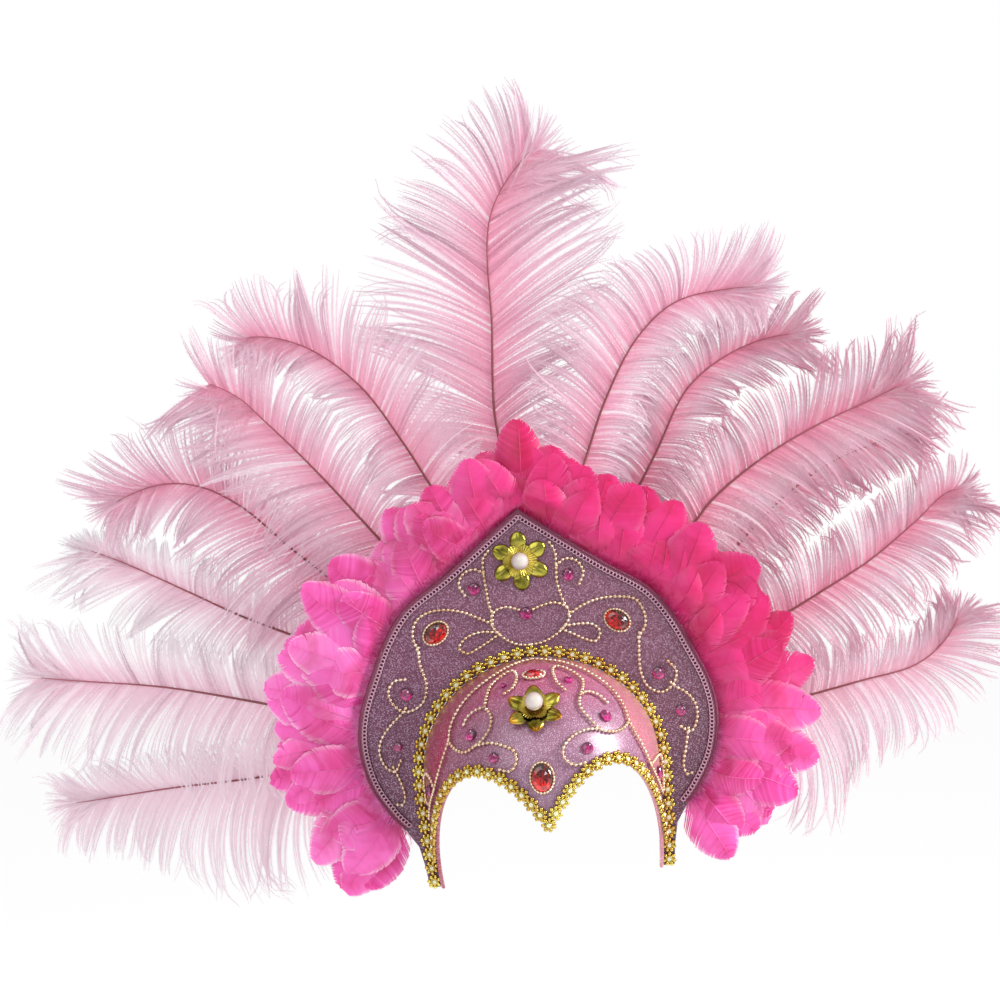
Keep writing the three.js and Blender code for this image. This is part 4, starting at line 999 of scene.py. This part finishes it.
def add_copies(shape, form, origins, bases, slot=0, along=0.0, tone=0.5):
    """Copies of a form at the origins, with its axes along each basis's rows."""
    verts, faces = form
    origins = np.reshape(origins, (-1, 3))
    placed = origins[:, None] + np.einsum("vk,nkj->nvj", verts, np.broadcast_to(bases, (len(origins), 3, 3)))
    every = faces[None] + (np.arange(len(origins)) * len(verts))[:, None, None]
    values = [np.broadcast_to(v, (len(origins), len(verts))) for v in (along, tone)]
    shape.add(placed, every.reshape(-1, faces.shape[1]), along=values[0], tone=values[1], slot=slot)


def looped_faces(rows, columns):
    """Quads of a grid that closes on itself both ways."""
    r, c = (k.ravel() for k in np.meshgrid(np.arange(rows), np.arange(columns), indexing="ij"))
    near, far = r * columns, (r + 1) % rows * columns
    nxt = (c + 1) % columns
    return np.stack([near + c, far + c, far + nxt, near + nxt], 1)


def ring_form(major, minor, around, section, height=0.0, tilt=0.0):
    a = (2 * np.pi * np.arange(around) / around)[:, None]
    b = (2 * np.pi * np.arange(section) / section)[None]
    r = major + minor * np.cos(b)
    up = height + minor * np.sin(b) + tilt * r * np.cos(a)
    verts = np.stack([r * np.cos(a), r * np.sin(a), up], -1)
    return verts.reshape(-1, 3), looped_faces(around, section)


def stretched(form, sizes, move=(0, 0, 0)):
    return form[0] * sizes + move, form[1]


def spread(form, radii, turns, height=0.0):
    """One form made of copies of another round an ellipse, each turned outward."""
    verts, faces = form
    every, count = [], len(verts)
    for turn in np.radians(turns):
        c, s = math.cos(turn), math.sin(turn)
        flat = verts[:, :2] @ np.array([[c, s], [-s, c]]) + (radii[0] * c, radii[1] * s)
        every.append(np.column_stack([flat, verts[:, 2] + height]))
    return np.vstack(every), np.vstack([faces + k * count for k in range(len(turns))])


# Cap and plate

CAP_COLUMNS = 145
CAP_ROWS = 30
LIP_SWELL = 0.9
BAND_BLEND = 3.0        # degrees over which the cap's colour gives way to the outer band's colour


def outer_band(angle, z):
    """0 inside the long bead scroll that runs along the cap's outer edge, 1 outside it."""
    limits = []
    for side in ("left", "right"):
        strand = np.array(CAP_SCROLLS[side][0])
        limits.append(np.interp(-z, -strand[:, 1], np.abs(strand[:, 0]), left=0.0))
    limit = np.where(angle < 0, limits[0], limits[1])
    return np.clip((np.abs(angle) - limit) / BAND_BLEND + 0.5, 0, 1)


def cap_grid(inset):
    """Points of one skin of the cap, columns from the left to the right and rows from the edge up."""
    angle = np.linspace(-90, 90, CAP_COLUMNS)[:, None]
    climb_from = (brow_height(angle) - CAP_FOOT_Z) / CAP_HEIGHT
    start = np.where(climb_from > 0, np.arcsin(np.clip(climb_from, 0, 1)), climb_from)
    climb = start + (np.pi / 2 - start) * np.linspace(0, 1, CAP_ROWS, endpoint=False)[None]
    lift = np.where(climb > 0, np.sin(climb), climb)
    edge_z = CAP_FOOT_Z + CAP_HEIGHT * lift
    turn = np.radians(angle)
    x = (CAP_HALF_WIDTH - inset) * np.sin(turn) * girth(edge_z)
    y = -(CAP_DEPTH - inset) * np.cos(turn) * girth(edge_z)
    z = np.where(climb > 0, CAP_FOOT_Z + (CAP_HEIGHT - inset) * lift, edge_z)
    return np.stack([x, y, z], -1), outer_band(angle, edge_z)


def make_cap():
    shape = Shape()
    skins = []
    for slot, inset in ((0, 0.0), (1, CAP_WALL)):
        points, band = cap_grid(inset)
        skins.append(points)
        top = np.array([[0, 0, CAP_FOOT_Z + CAP_HEIGHT - inset]])
        shape.add(np.vstack([points.reshape(-1, 3), top]), grid_faces(CAP_COLUMNS, CAP_ROWS),
                  along=np.append(band.ravel(), 1.0), slot=slot)
        first = np.arange(CAP_COLUMNS - 1) * CAP_ROWS + CAP_ROWS - 1
        peak = np.full_like(first, CAP_COLUMNS * CAP_ROWS)
        fan = np.stack([first, first + CAP_ROWS, peak], 1)
        shape.faces.append((fan + shape.count - CAP_COLUMNS * CAP_ROWS - 1, slot))
        for column in (points[0], points[-1]):
            line = np.vstack([column, top])
            strip = np.vstack([line, line + (0, PLATE_THICK, 0)])
            shape.add(strip, grid_faces(2, len(line)), along=1.0, slot=slot)
    outer, inner = skins
    swell = LIP_SWELL * unit(outer[:, 0] - outer[:, 1])
    lip = np.stack([outer[:, 0], (outer[:, 0] + inner[:, 0]) / 2 + swell, inner[:, 0]], 1)
    shape.add(lip, grid_faces(CAP_COLUMNS, 3), along=1.0)
    for end in (0, -1):
        tops = [np.array([[0, 0, CAP_FOOT_Z + CAP_HEIGHT - inset]]) for inset in (0.0, CAP_WALL)]
        lines = [np.vstack([skin[end], top]) + (0, PLATE_THICK, 0) for skin, top in zip(skins, tops)]
        shape.add(np.vstack(lines), grid_faces(2, CAP_ROWS + 1), along=1.0, slot=1)
    piece(shape, "cap_shell", [cap_paint(), lining_paint()], ["cap"])


def cap_paint():
    def base(paint):
        x, _, z = paint.parts(paint.place())
        height = paint.shift(z, 12.0, 0.9)
        right = paint.shift(x, 6.0, 0.5)
        # Lilac low in the middle and pinker towards the top: partly the fabric's own colour, partly painted
        # reflection of the pink feathers round it.
        level = paint.ramp(height, [(0.0, srgb(150, 108, 134)), (0.5, srgb(156, 104, 130)),
                                    (0.85, srgb(184, 82, 122)), (1.0, srgb(176, 76, 112))])
        # Outer band: its own satin pink, with painted shade towards the left and painted light towards the
        # right.
        band = paint.ramp(right, [(0.0, srgb(158, 30, 66)), (0.45, srgb(172, 72, 92)),
                                  (1.0, srgb(206, 128, 138))])
        # Painted reflection of the pink feathers on the left side, and a painted highlight that makes the
        # right side paler.
        side = paint.ramp(right, [(0.1, srgb(226, 90, 140)), (0.4, WHITE), (0.75, WHITE),
                                  (1.0, srgb(246, 190, 214))])
        centre = paint.mix(0.75, level, side, "MULTIPLY")
        return paint.mix(paint.value("along"), centre, band)

    return glitter_paint("cap_glitter", base, srgb(190, 132, 180), (0.72, 0.66, 0.72, 1),
                         srgb(255, 225, 250), 0.34, 0.5)


def plate_paint():
    def base(paint):
        x, _, z = paint.parts(paint.place())
        across = paint.ramp(paint.shift(x, 4.2, 0.5), [(0.0, srgb(114, 50, 84)), (0.5, srgb(130, 76, 100)),
                                                       (1.0, srgb(124, 70, 90))])
        up = paint.ramp(paint.shift(z, 4.0, 0.6), [(0.0, srgb(190, 170, 190)), (0.7, WHITE)])
        normal = paint.parts(paint.node("NewGeometry").outputs["Normal"])
        behind = paint.math("GREATER_THAN", normal[1], 0.5)
        return paint.mix(behind, paint.times(across, up), srgb(236, 214, 226))

    return glitter_paint("plate_glitter", base, srgb(140, 100, 145), (0.62, 0.56, 0.62, 1),
                         srgb(236, 208, 240), 0.4, 0.35)


def lining_paint():
    paint = Paint("cap_lining", srgb(238, 214, 226), 0.9)
    paint.bump(paint.noise(900.0, 2.0), 0.2, 0.0003)
    return paint.material


# Braided edge cord

GIMP_END = 0.86         # share of the outline's length where the cord ends on each leg
GIMP_SECTION = np.array([(-3.3, 0.5), (-3.0, -0.4), (3.0, -0.4), (3.3, 0.5), (0, 0.55)])

# Ropes on the tape: inset from the plate's edge, y, strand radius, strand's distance from the middle, pitch
# of the twist, and tone
GIMP_ROPES = [(1.2, -1.5, 0.62, 0.52, 3.2, 0.2), (2.5, -1.35, 0.4, 0.36, -2.6, 0.45)]


def plate_line(inset, y, pitch):
    return at_depth(side_outline(inset, GIMP_END, 1.15 * inset, pitch), y)


def plate_bases(line):
    """Frames along a line on the plate, x along it and z to the front."""
    return basis(np.broadcast_to((0.0, -1.0, 0.0), line.shape), unit(np.gradient(line, axis=0)))


def add_rope(shape, line, radius, wind, pitch, tone):
    """Two strands wound about a line."""
    frames = plate_bases(line)
    angle = 2 * np.pi * lengths(line) / pitch
    for start in (0.0, np.pi):
        a = (angle + start)[:, None]
        strand = line + wind * (np.cos(a) * frames[:, 1] + np.sin(a) * frames[:, 2])
        add_tube(shape, strand, radius, sides=4, tone=tone)


def make_gimp():
    shape = Shape()
    base = plate_line(GIMP_WIDTH / 2, -CLEAR - 0.55, 3.0)
    frames = plate_bases(base)
    across, up = frames[:, 1][:, None], frames[:, 2][:, None]
    ring = base[:, None] + across * GIMP_SECTION[None, :, :1] - up * GIMP_SECTION[None, :, 1:]
    shape.add(ring, grid_faces(len(base), len(GIMP_SECTION), closed=True), slot=1)
    for inset, y, radius, wind, pitch, tone in GIMP_ROPES:
        add_rope(shape, plate_line(inset, y - CLEAR, 0.42), radius, wind, pitch, tone)
    loops = plate_line(4.7, -CLEAR - 1.6, 2.6)
    add_copies(shape, ring_form(1.45, 0.45, 9, 4, tilt=0.35), loops, plate_bases(loops), tone=0.9)
    tape = Paint("gimp_tape", srgb(84, 34, 60), 0.8)
    piece(shape, "gimp_braid", [gimp_paint(), tape.material], ["edge_gimp"])


def gimp_paint():
    paint = Paint("gimp_cord", srgb(120, 60, 90), 0.42, Coat_Weight=0.3)
    paint.colour(paint.ramp(paint.value("tone"), [(0.15, srgb(116, 38, 66)), (0.45, srgb(150, 78, 110)),
                                                  (0.9, srgb(206, 160, 180))]))
    return paint.material


# Chains of gold flower links

def petal_ring(count, radii, size, height):
    granule = stretched(BEAD_FORMS[2], size)
    return spread(granule, radii, 360 / count * (np.arange(count) + 0.5), height)


def add_links(shape, origins, bases, pitch):
    """Gold florets: round petals about a cup with a clear crystal, and a small bead between neighbours."""
    tone = np.random.default_rng(31).uniform(0.2, 0.8, (len(origins), 1))
    parts = [petal_ring(7, (3.4, 3.3), (1.6, 1.4, 1.2), 1.2),
             ring_form(2.0, 0.42, 12, 5, 1.9),
             stretched(BEAD_FORMS[2], (2.6, 2.3, 0.8), (0, 0, 0.8)),
             petal_ring(5, (2.3, 2.2), (0.55, 0.55, 0.55), 2.3)]
    for part in parts:
        add_copies(shape, part, origins, bases, tone=tone)
    bead = stretched(BEAD_FORMS[2], (0.8, 0.8, 0.7), (pitch / 2, 0, 0.9))
    add_copies(shape, bead, origins[:-1], bases[:-1], tone=tone[:-1])
    crystal = gem_form(8, 1.8, 1.8, 1.6, 2.9, 7)
    add_copies(shape, crystal[:2], origins, bases, slot=1, along=crystal[2], tone=crystal[3])


def gem_form(sides, half_width, half_height, girdle, crown, seed):
    """Cut stone lying flat: crown facets round a table, each facet with a painted shade of its own, brighter
    towards the lower left, and one facet with a painted glint.
    """
    rnd = np.random.default_rng(seed)
    turn = 2 * np.pi * np.arange(sides) / sides
    levels = [(1.0, 0.0, 0.0), (1.0, girdle, 0.0), (0.84, girdle + 0.6 * (crown - girdle), 0.5),
              (0.6, crown, 0.0), (0.3, crown, 0.5)]
    rings = []
    for radius, height, step in levels:
        a = turn + step * 2 * np.pi / sides
        rings.append(np.stack([half_width * radius * np.cos(a), half_height * radius * np.sin(a),
                               np.full(sides, height)], 1))
    k = np.arange(sides)
    nxt = (k + 1) % sides
    triangles = [np.stack([rings[0][k], rings[0][nxt], rings[1][nxt]], 1),
                 np.stack([rings[0][k], rings[1][nxt], rings[1][k]], 1)]
    for low, high, lag in ((1, 2, 0), (2, 3, 1), (3, 4, 0)):
        a, b = rings[low], rings[high]
        ahead = nxt if lag else k
        back = k if lag else (k - 1) % sides
        triangles.append(np.stack([a[k], a[nxt], b[ahead]], 1))
        triangles.append(np.stack([a[k], b[ahead], b[back]], 1))
    middle = np.broadcast_to((0.0, 0.0, crown), (sides, 3))
    triangles.append(np.stack([rings[4][k], rings[4][nxt], middle], 1))
    every = np.concatenate(triangles)
    centre = every.mean(1)
    # Painted light: facets towards the lower left are brighter, with a random spread.
    shine = 0.45 - 0.35 * centre[:, 1] / half_height - 0.15 * centre[:, 0] / half_width
    tone = np.clip(shine + rnd.normal(0, 0.2, len(every)), 0, 1)
    # Painted glint on one crown facet near the upper right.
    glint = np.zeros(len(every))
    upper_right = np.argmin(np.hypot(centre[:, 0] - 0.35 * half_width, centre[:, 1] - 0.4 * half_height)
                            + 9 * (centre[:, 2] < crown - 0.01))
    glint[upper_right] = 1.0
    corners = np.arange(3 * len(every)).reshape(-1, 3)
    return every.reshape(-1, 3), corners, np.repeat(glint, 3), np.repeat(tone, 3)


def arch_line():
    legs = np.array([-146.0, -125.0, -100.0])
    left = np.column_stack([-ARCH_HALF_WIDTH * girth(legs), legs])
    turn = np.pi * (1 - np.arange(17) / 16)
    crown = np.column_stack([ARCH_HALF_WIDTH * np.cos(turn), ARCH_FOOT_Z + ARCH_HEIGHT * np.sin(turn)])
    flat = spline(np.vstack([left, crown, (left * (-1, 1))[::-1]]))
    return at_depth(flat, 0.0)


def brow_line():
    angle = np.linspace(-78, 78, 241)
    return cap_points(angle, brow_height(angle) + 2)[0]


def link_stops(line, pitch):
    count = 2 * int(round(lengths(line)[-1] / (2 * pitch)))
    return at_shares(line, np.linspace(0, 1, count + 1)), lengths(line)[-1] / count


def make_trims():
    seats, pitch = link_stops(arch_line(), ARCH_LINK_PITCH)
    shape = Shape()
    add_links(shape, seats - (0, CLEAR, 0), plate_bases(seats), pitch)
    piece(shape, "arch_trim_links", [GOLD_LINK, CRYSTAL], ["arch_trim"], flat=(1,))
    seats, pitch = link_stops(brow_line(), BROW_LINK_PITCH)
    normal = cap_normal(seats)
    shape = Shape()
    add_links(shape, seats + 2 * CLEAR * normal, basis(normal, unit(np.gradient(seats, axis=0))), pitch)
    piece(shape, "brow_trim_links", [GOLD_LINK, CRYSTAL], ["brow_trim"], flat=(1,))


# Bead chains

BEAD_RADIUS = 1.25
BEAD_PITCH = 3.1
WIRE_RADIUS = 0.35


def add_chain(shape, line, seed):
    beads = even(line, BEAD_PITCH)
    tone = np.random.default_rng(seed).uniform(0.2, 0.9, len(beads))
    add_beads(shape, beads, BEAD_RADIUS, tone=tone)
    # The wire takes the darkest tone as painted shade in the gaps between the beads.
    add_tube(shape, even(line, 1.6), WIRE_RADIUS, sides=5, tone=0.1)


def make_chains():
    for side in ("left", "right"):
        shape = Shape()
        for number, strand in enumerate(PLATE_SCROLLS[side]):
            add_chain(shape, at_depth(spline(strand), -CLEAR - BEAD_RADIUS), 700 + number)
        piece(shape, f"plate_chain_{side}_beads", [GOLD_BEAD], [f"plate_chain_{side}"])
        shape = Shape()
        for number, strand in enumerate(CAP_SCROLLS[side]):
            flat = spline(strand)
            add_chain(shape, cap_points(flat[:, 0], flat[:, 1], 2 * CLEAR + BEAD_RADIUS)[0], 720 + number)
        piece(shape, f"cap_chain_{side}_beads", [GOLD_BEAD], [f"cap_chain_{side}"])


# Stones

RIM_OUT = 0.75          # from the stone's edge to the middle of its beaded rim
RIM_HEIGHT = 1.25
RIM_BEAD_RADIUS = 0.95
RIM_BEAD_PITCH = 2.15


def seat_on_plate(x, z):
    return np.array([x, -CLEAR, z]), basis((0.0, -1.0, 0.0), (1.0, 0.0, 0.0))


def seat_on_cap(angle, z):
    point, normal = cap_points(angle, z, CLEAR)
    return point, basis(normal, np.cross((0.0, 0.0, 1.0), normal))


def make_stone(seat, name, width, height, tilt, rim, seed):
    point, frame_rows = seat
    turn = math.radians(tilt)
    c, s = math.cos(turn), math.sin(turn)
    rows = np.array([[c, s, 0], [-s, c, 0], [0, 0, 1]]) @ frame_rows
    shape = Shape()
    sides = 14 if rim else 10
    gem = gem_form(sides, width / 2, height / 2, 1.4, 1.4 + 0.16 * width, seed)
    add_copies(shape, gem[:2], point, rows, along=gem[2], tone=gem[3])
    materials = [RED_GEM if rim else MAGENTA_GEM, GOLD_BEAD]
    if rim:
        ellipse = np.linspace(0, 2 * np.pi, 240)
        x = (width / 2 + RIM_OUT) * np.cos(ellipse)
        y = (height / 2 + RIM_OUT) * np.sin(ellipse)
        flat = np.column_stack([x, y, np.full(240, RIM_HEIGHT)])
        count = int(round(lengths(flat)[-1] / RIM_BEAD_PITCH))
        beads = at_shares(flat, np.arange(count) / count)
        add_beads(shape, point + beads @ rows, RIM_BEAD_RADIUS, slot=1, tone=0.8)
        # A tube under the rim's beads, in the darkest tone as painted shade between them.
        add_tube(shape, point + (even(flat, 1.5) - (0, 0, 0.7)) @ rows, 0.8, slot=1, tone=0.1)
    piece(shape, name + "_cut", materials, [name], flat=(0,))


def make_stones():
    for where, seat, reds, magentas, seed in (("plate", seat_on_plate, PLATE_REDS, PLATE_MAGENTAS, 40),
                                              ("cap", seat_on_cap, CAP_REDS, CAP_MAGENTAS, 60)):
        for k, (name, x, z, width, height, tilt) in enumerate(reds):
            make_stone(seat(x, z), f"stone_red_{name}", width, height, tilt, True, seed + k)
        for k, (x, z, width, height) in enumerate(magentas):
            make_stone(seat(x, z), f"stone_{where}_{k + 1}", width, height, 0, False, seed + len(reds) + k)


# Flowers and pearls

PLATE_FLOWER_AT = (-1.6, 65.3)
CAP_FLOWER_AT = (-1.5, -29)
PETAL_FROM = 4.0
PETAL_HALF_WIDTH = 5.8
PEARL_RADIUS = 6.0
PEARL_HEIGHT = 3.4 + CLEAR + PEARL_RADIUS


def petal_form(reach, pointed, crease):
    """Petal along x, domed above and shallow below, from near the flower's centre to its reach."""
    u = np.linspace(0, 1, 19)[:, None]
    v = np.linspace(-1, 1, 15)[None]
    full = np.sin(np.pi * np.clip(u, 0, 1) ** (1.0 if pointed else 1.25)) ** (0.75 if pointed else 0.55)
    half = PETAL_HALF_WIDTH * full * (1.0 if pointed else 0.98)
    x = PETAL_FROM + (reach - PETAL_FROM) * u + 0 * v
    y = half * v
    dome = np.sqrt(np.clip(1 - v ** 2, 0, 1)) * np.sin(np.pi * u) ** 0.5
    rise = 2.3 * (0.7 + 0.5 * u) * dome - crease * np.exp(-(v / 0.13) ** 2) * np.sin(np.pi * u) ** 0.5
    curl = 0.9 * u ** 2 if pointed else 0.2 * u
    top = np.stack([x, y, 2.0 + rise + curl + 0 * v], -1)
    under = np.stack([x, y, 2.0 - 1.3 * dome + curl + 0 * v], -1)
    faces = grid_faces(19, 15)
    return np.vstack([top.reshape(-1, 3), under.reshape(-1, 3)]), np.vstack([faces, faces[:, ::-1] + 19 * 15])


def frill_form(reach, lobes, flutes, lift, first_turn):
    """Fluted ring whose edge runs in lobes."""
    a = np.linspace(0, 2 * np.pi, 181)[None]
    u = np.linspace(0, 1, 9)[:, None]
    lobe = 0.5 + 0.5 * np.cos(lobes * (a - math.radians(first_turn)))
    r = 2.5 + (reach * (0.8 + 0.2 * lobe ** 0.6) - 2.5) * u
    z = 4.0 + lift * u ** 2 * (0.6 + 0.4 * lobe) + 0.38 * np.cos(flutes * a) * u
    top = np.stack([r * np.cos(a), r * np.sin(a), z], -1)
    faces = grid_faces(9, 181)
    verts = np.vstack([top.reshape(-1, 3), (top - (0, 0, 0.5)).reshape(-1, 3)])
    return verts, np.vstack([faces, faces[:, ::-1] + 9 * 181])


def make_flower(name, seat, reach, pointed, paint):
    point, rows = seat
    shape = Shape()
    petals = spread(petal_form(reach, pointed, 0.7 if pointed else 0.25), (0, 0), 30 + 60 * np.arange(6))
    length = np.hypot(petals[0][:, 0], petals[0][:, 1])
    add_copies(shape, petals, point, rows, along=np.clip(length / reach, 0, 1), tone=0.4)
    frill = frill_form(11.0 if pointed else 11.6, 6, 36, 1.2 if pointed else 0.9, 0)
    edge = np.hypot(frill[0][:, 0], frill[0][:, 1]) / 11.6
    add_copies(shape, frill, point, rows, along=0.6 * edge, tone=0.4 + 0.5 * edge)
    add_copies(shape, stretched(BEAD_FORMS[3], (7.5, 7.5, 2.0), (0, 0, 2.0)), point, rows, tone=0.2)
    prongs = spread(stretched(BEAD_FORMS[2], (0.8, 0.55, 0.55)), (5.3, 5.3), 30 * np.arange(12), 4.9)
    add_copies(shape, prongs, point, rows, tone=0.9)
    piece(shape, f"{name}_flower_petals", [paint], [f"{name}_flower"])
    shape = Shape()
    add_beads(shape, point + PEARL_HEIGHT * rows[2], PEARL_RADIUS, 4)
    piece(shape, f"{name}_pearl_round", [PEARL], [f"{name}_pearl"])


# Elastic behind the head

BAND_HALF_WIDTH = 78.55
BAND_DEPTH = 93.0
BAND_FROM_Y = PLATE_THICK + CLEAR
BAND_Z = -66.0
BAND_HALF_HEIGHT = 6.0
RIB_PITCH = 1.5


def make_head_band():
    turn = np.linspace(0, np.pi, 97)
    c, s = np.cos(turn), np.sin(turn)
    path = np.column_stack([BAND_HALF_WIDTH * c, BAND_FROM_Y + BAND_DEPTH * s, np.full(97, BAND_Z)])
    out = unit(np.column_stack([c / BAND_HALF_WIDTH, s / BAND_DEPTH, 0 * turn]))
    height = np.linspace(-BAND_HALF_HEIGHT, BAND_HALF_HEIGHT, 33)
    ribs = 0.62 + 0.16 * np.cos(2 * np.pi * height / RIB_PITCH)
    profile = np.vstack([np.column_stack([ribs, height]), np.column_stack([-ribs, height])[::-1]])
    verts = path[:, None] + out[:, None] * profile[None, :, :1] + np.array([0, 0, 1.0]) * profile[None, :, 1:]
    shape = Shape()
    shape.add(verts, grid_faces(97, len(profile), closed=True))
    for end in (0, 96):
        shape.add(verts[end], np.arange(len(profile))[None])
    paint = Paint("elastic_weave", srgb(240, 232, 236), 0.85)
    piece(shape, "head_band_elastic", [paint.material], ["head_band"])


GOLD_LINK = gold_paint("gold_link", srgb(244, 226, 116), srgb(186, 142, 56), 0.2, 30.0, 0.4)
GOLD_BEAD = gold_paint("gold_bead", srgb(255, 240, 220), srgb(214, 178, 140), 0.34, 60.0, 0.7)
CRYSTAL = gem_paint("crystal", [srgb(170, 170, 120), srgb(240, 240, 200), srgb(255, 255, 240)], WHITE)
RED_GEM = gem_paint("red_stone", [srgb(40, 0, 2), srgb(130, 2, 8), srgb(245, 24, 16)], srgb(206, 190, 190))
MAGENTA_GEM = gem_paint("magenta_stone", [srgb(60, 4, 40), srgb(132, 12, 82), srgb(224, 44, 146)],
                        srgb(255, 190, 235))
PEARL = pearl_paint()

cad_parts["crest_plate"].data.materials[0] = plate_paint()
make_cap()
make_gimp()
make_trims()
make_chains()
make_stones()
make_flower("plate", seat_on_plate(*PLATE_FLOWER_AT), 20.5, False,
            petal_paint("plate_petal", srgb(160, 156, 60)))
make_flower("cap", seat_on_cap(*CAP_FLOWER_AT), 19.5, True, petal_paint("cap_petal", srgb(206, 130, 36)))
make_head_band()


# Camera, light and floor

CAMERA_AT = (-0.011, -1.3, 0.1114)
CAMERA_ROLL = -5.5
CAMERA_LENS = 68.8
WORLD_LOW = 0.4
WORLD_HIGH = 0.7
FLOOR_HALF = 12.0
FLOOR_Z = -1.1

# Lamps: place, target, edge length and power
LAMPS = {
    "front_softbox": ((-0.9, -1.9, 1.6), (0, 0, 0.05), 2.4, 25),
    "side_window": ((1.45, -0.3, 0.55), (0.05, -0.05, -0.02), 0.66, 31),
}


def make_camera():
    data = bpy.data.cameras.new("camera")
    data.lens = CAMERA_LENS
    data.sensor_width = 36.0
    data.clip_start = 0.05
    camera = bpy.data.objects.new("camera", data)
    bpy.context.collection.objects.link(camera)
    turn = Matrix.Rotation(math.radians(90), 4, "X") @ Matrix.Rotation(math.radians(CAMERA_ROLL), 4, "Z")
    camera.matrix_world = Matrix.Translation(CAMERA_AT) @ turn
    bpy.context.scene.camera = camera


def area_light(name, place, target, size, power):
    data = bpy.data.lights.new(name, "AREA")
    data.shape = "SQUARE"
    data.size = size
    data.energy = power
    light = bpy.data.objects.new(name, data)
    bpy.context.collection.objects.link(light)
    light.location = place
    light.rotation_mode = "QUATERNION"
    light.rotation_quaternion = (Vector(target) - Vector(place)).to_track_quat("-Z", "Y")


def make_world():
    """White to the camera, and softer from below than from above as a light."""
    world = bpy.data.worlds.new("studio")
    world.use_nodes = True
    tree = world.node_tree
    direction = tree.nodes.new("ShaderNodeTexCoord").outputs["Generated"]
    parts = tree.nodes.new("ShaderNodeSeparateXYZ")
    tree.links.new(direction, parts.inputs["Vector"])
    ramp = tree.nodes.new("ShaderNodeValToRGB")
    for element, position, level in zip(ramp.color_ramp.elements, (0.0, 0.8), (WORLD_LOW, WORLD_HIGH)):
        element.position = position
        element.color = grey(level)
    tree.links.new(parts.outputs["Z"], ramp.inputs["Fac"])
    seen = tree.nodes.new("ShaderNodeMix")
    seen.data_type = "RGBA"
    tree.links.new(tree.nodes.new("ShaderNodeLightPath").outputs["Is Camera Ray"], seen.inputs["Factor"])
    tree.links.new(ramp.outputs["Color"], seen.inputs["A"])
    seen.inputs["B"].default_value = WHITE
    tree.links.new(seen.outputs["Result"], tree.nodes["Background"].inputs["Color"])
    bpy.context.scene.world = world


def make_floor():
    corners = [(x * FLOOR_HALF, y * FLOOR_HALF, FLOOR_Z) for x, y in ((-1, -1), (1, -1), (1, 1), (-1, 1))]
    mesh = bpy.data.meshes.new("floor")
    mesh.from_pydata(corners, [], [(0, 1, 2, 3)])
    paint = Paint("pale_floor", grey(0.93), 0.9, Emission_Color=WHITE, Emission_Strength=0.38)
    mesh.materials.append(paint.material)
    floor = bpy.data.objects.new("floor", mesh)
    bpy.context.collection.objects.link(floor)


make_camera()
make_world()
make_floor()
for lamp, setting in LAMPS.items():
    area_light(lamp, *setting)
bpy.context.scene.view_settings.view_transform = "Standard"
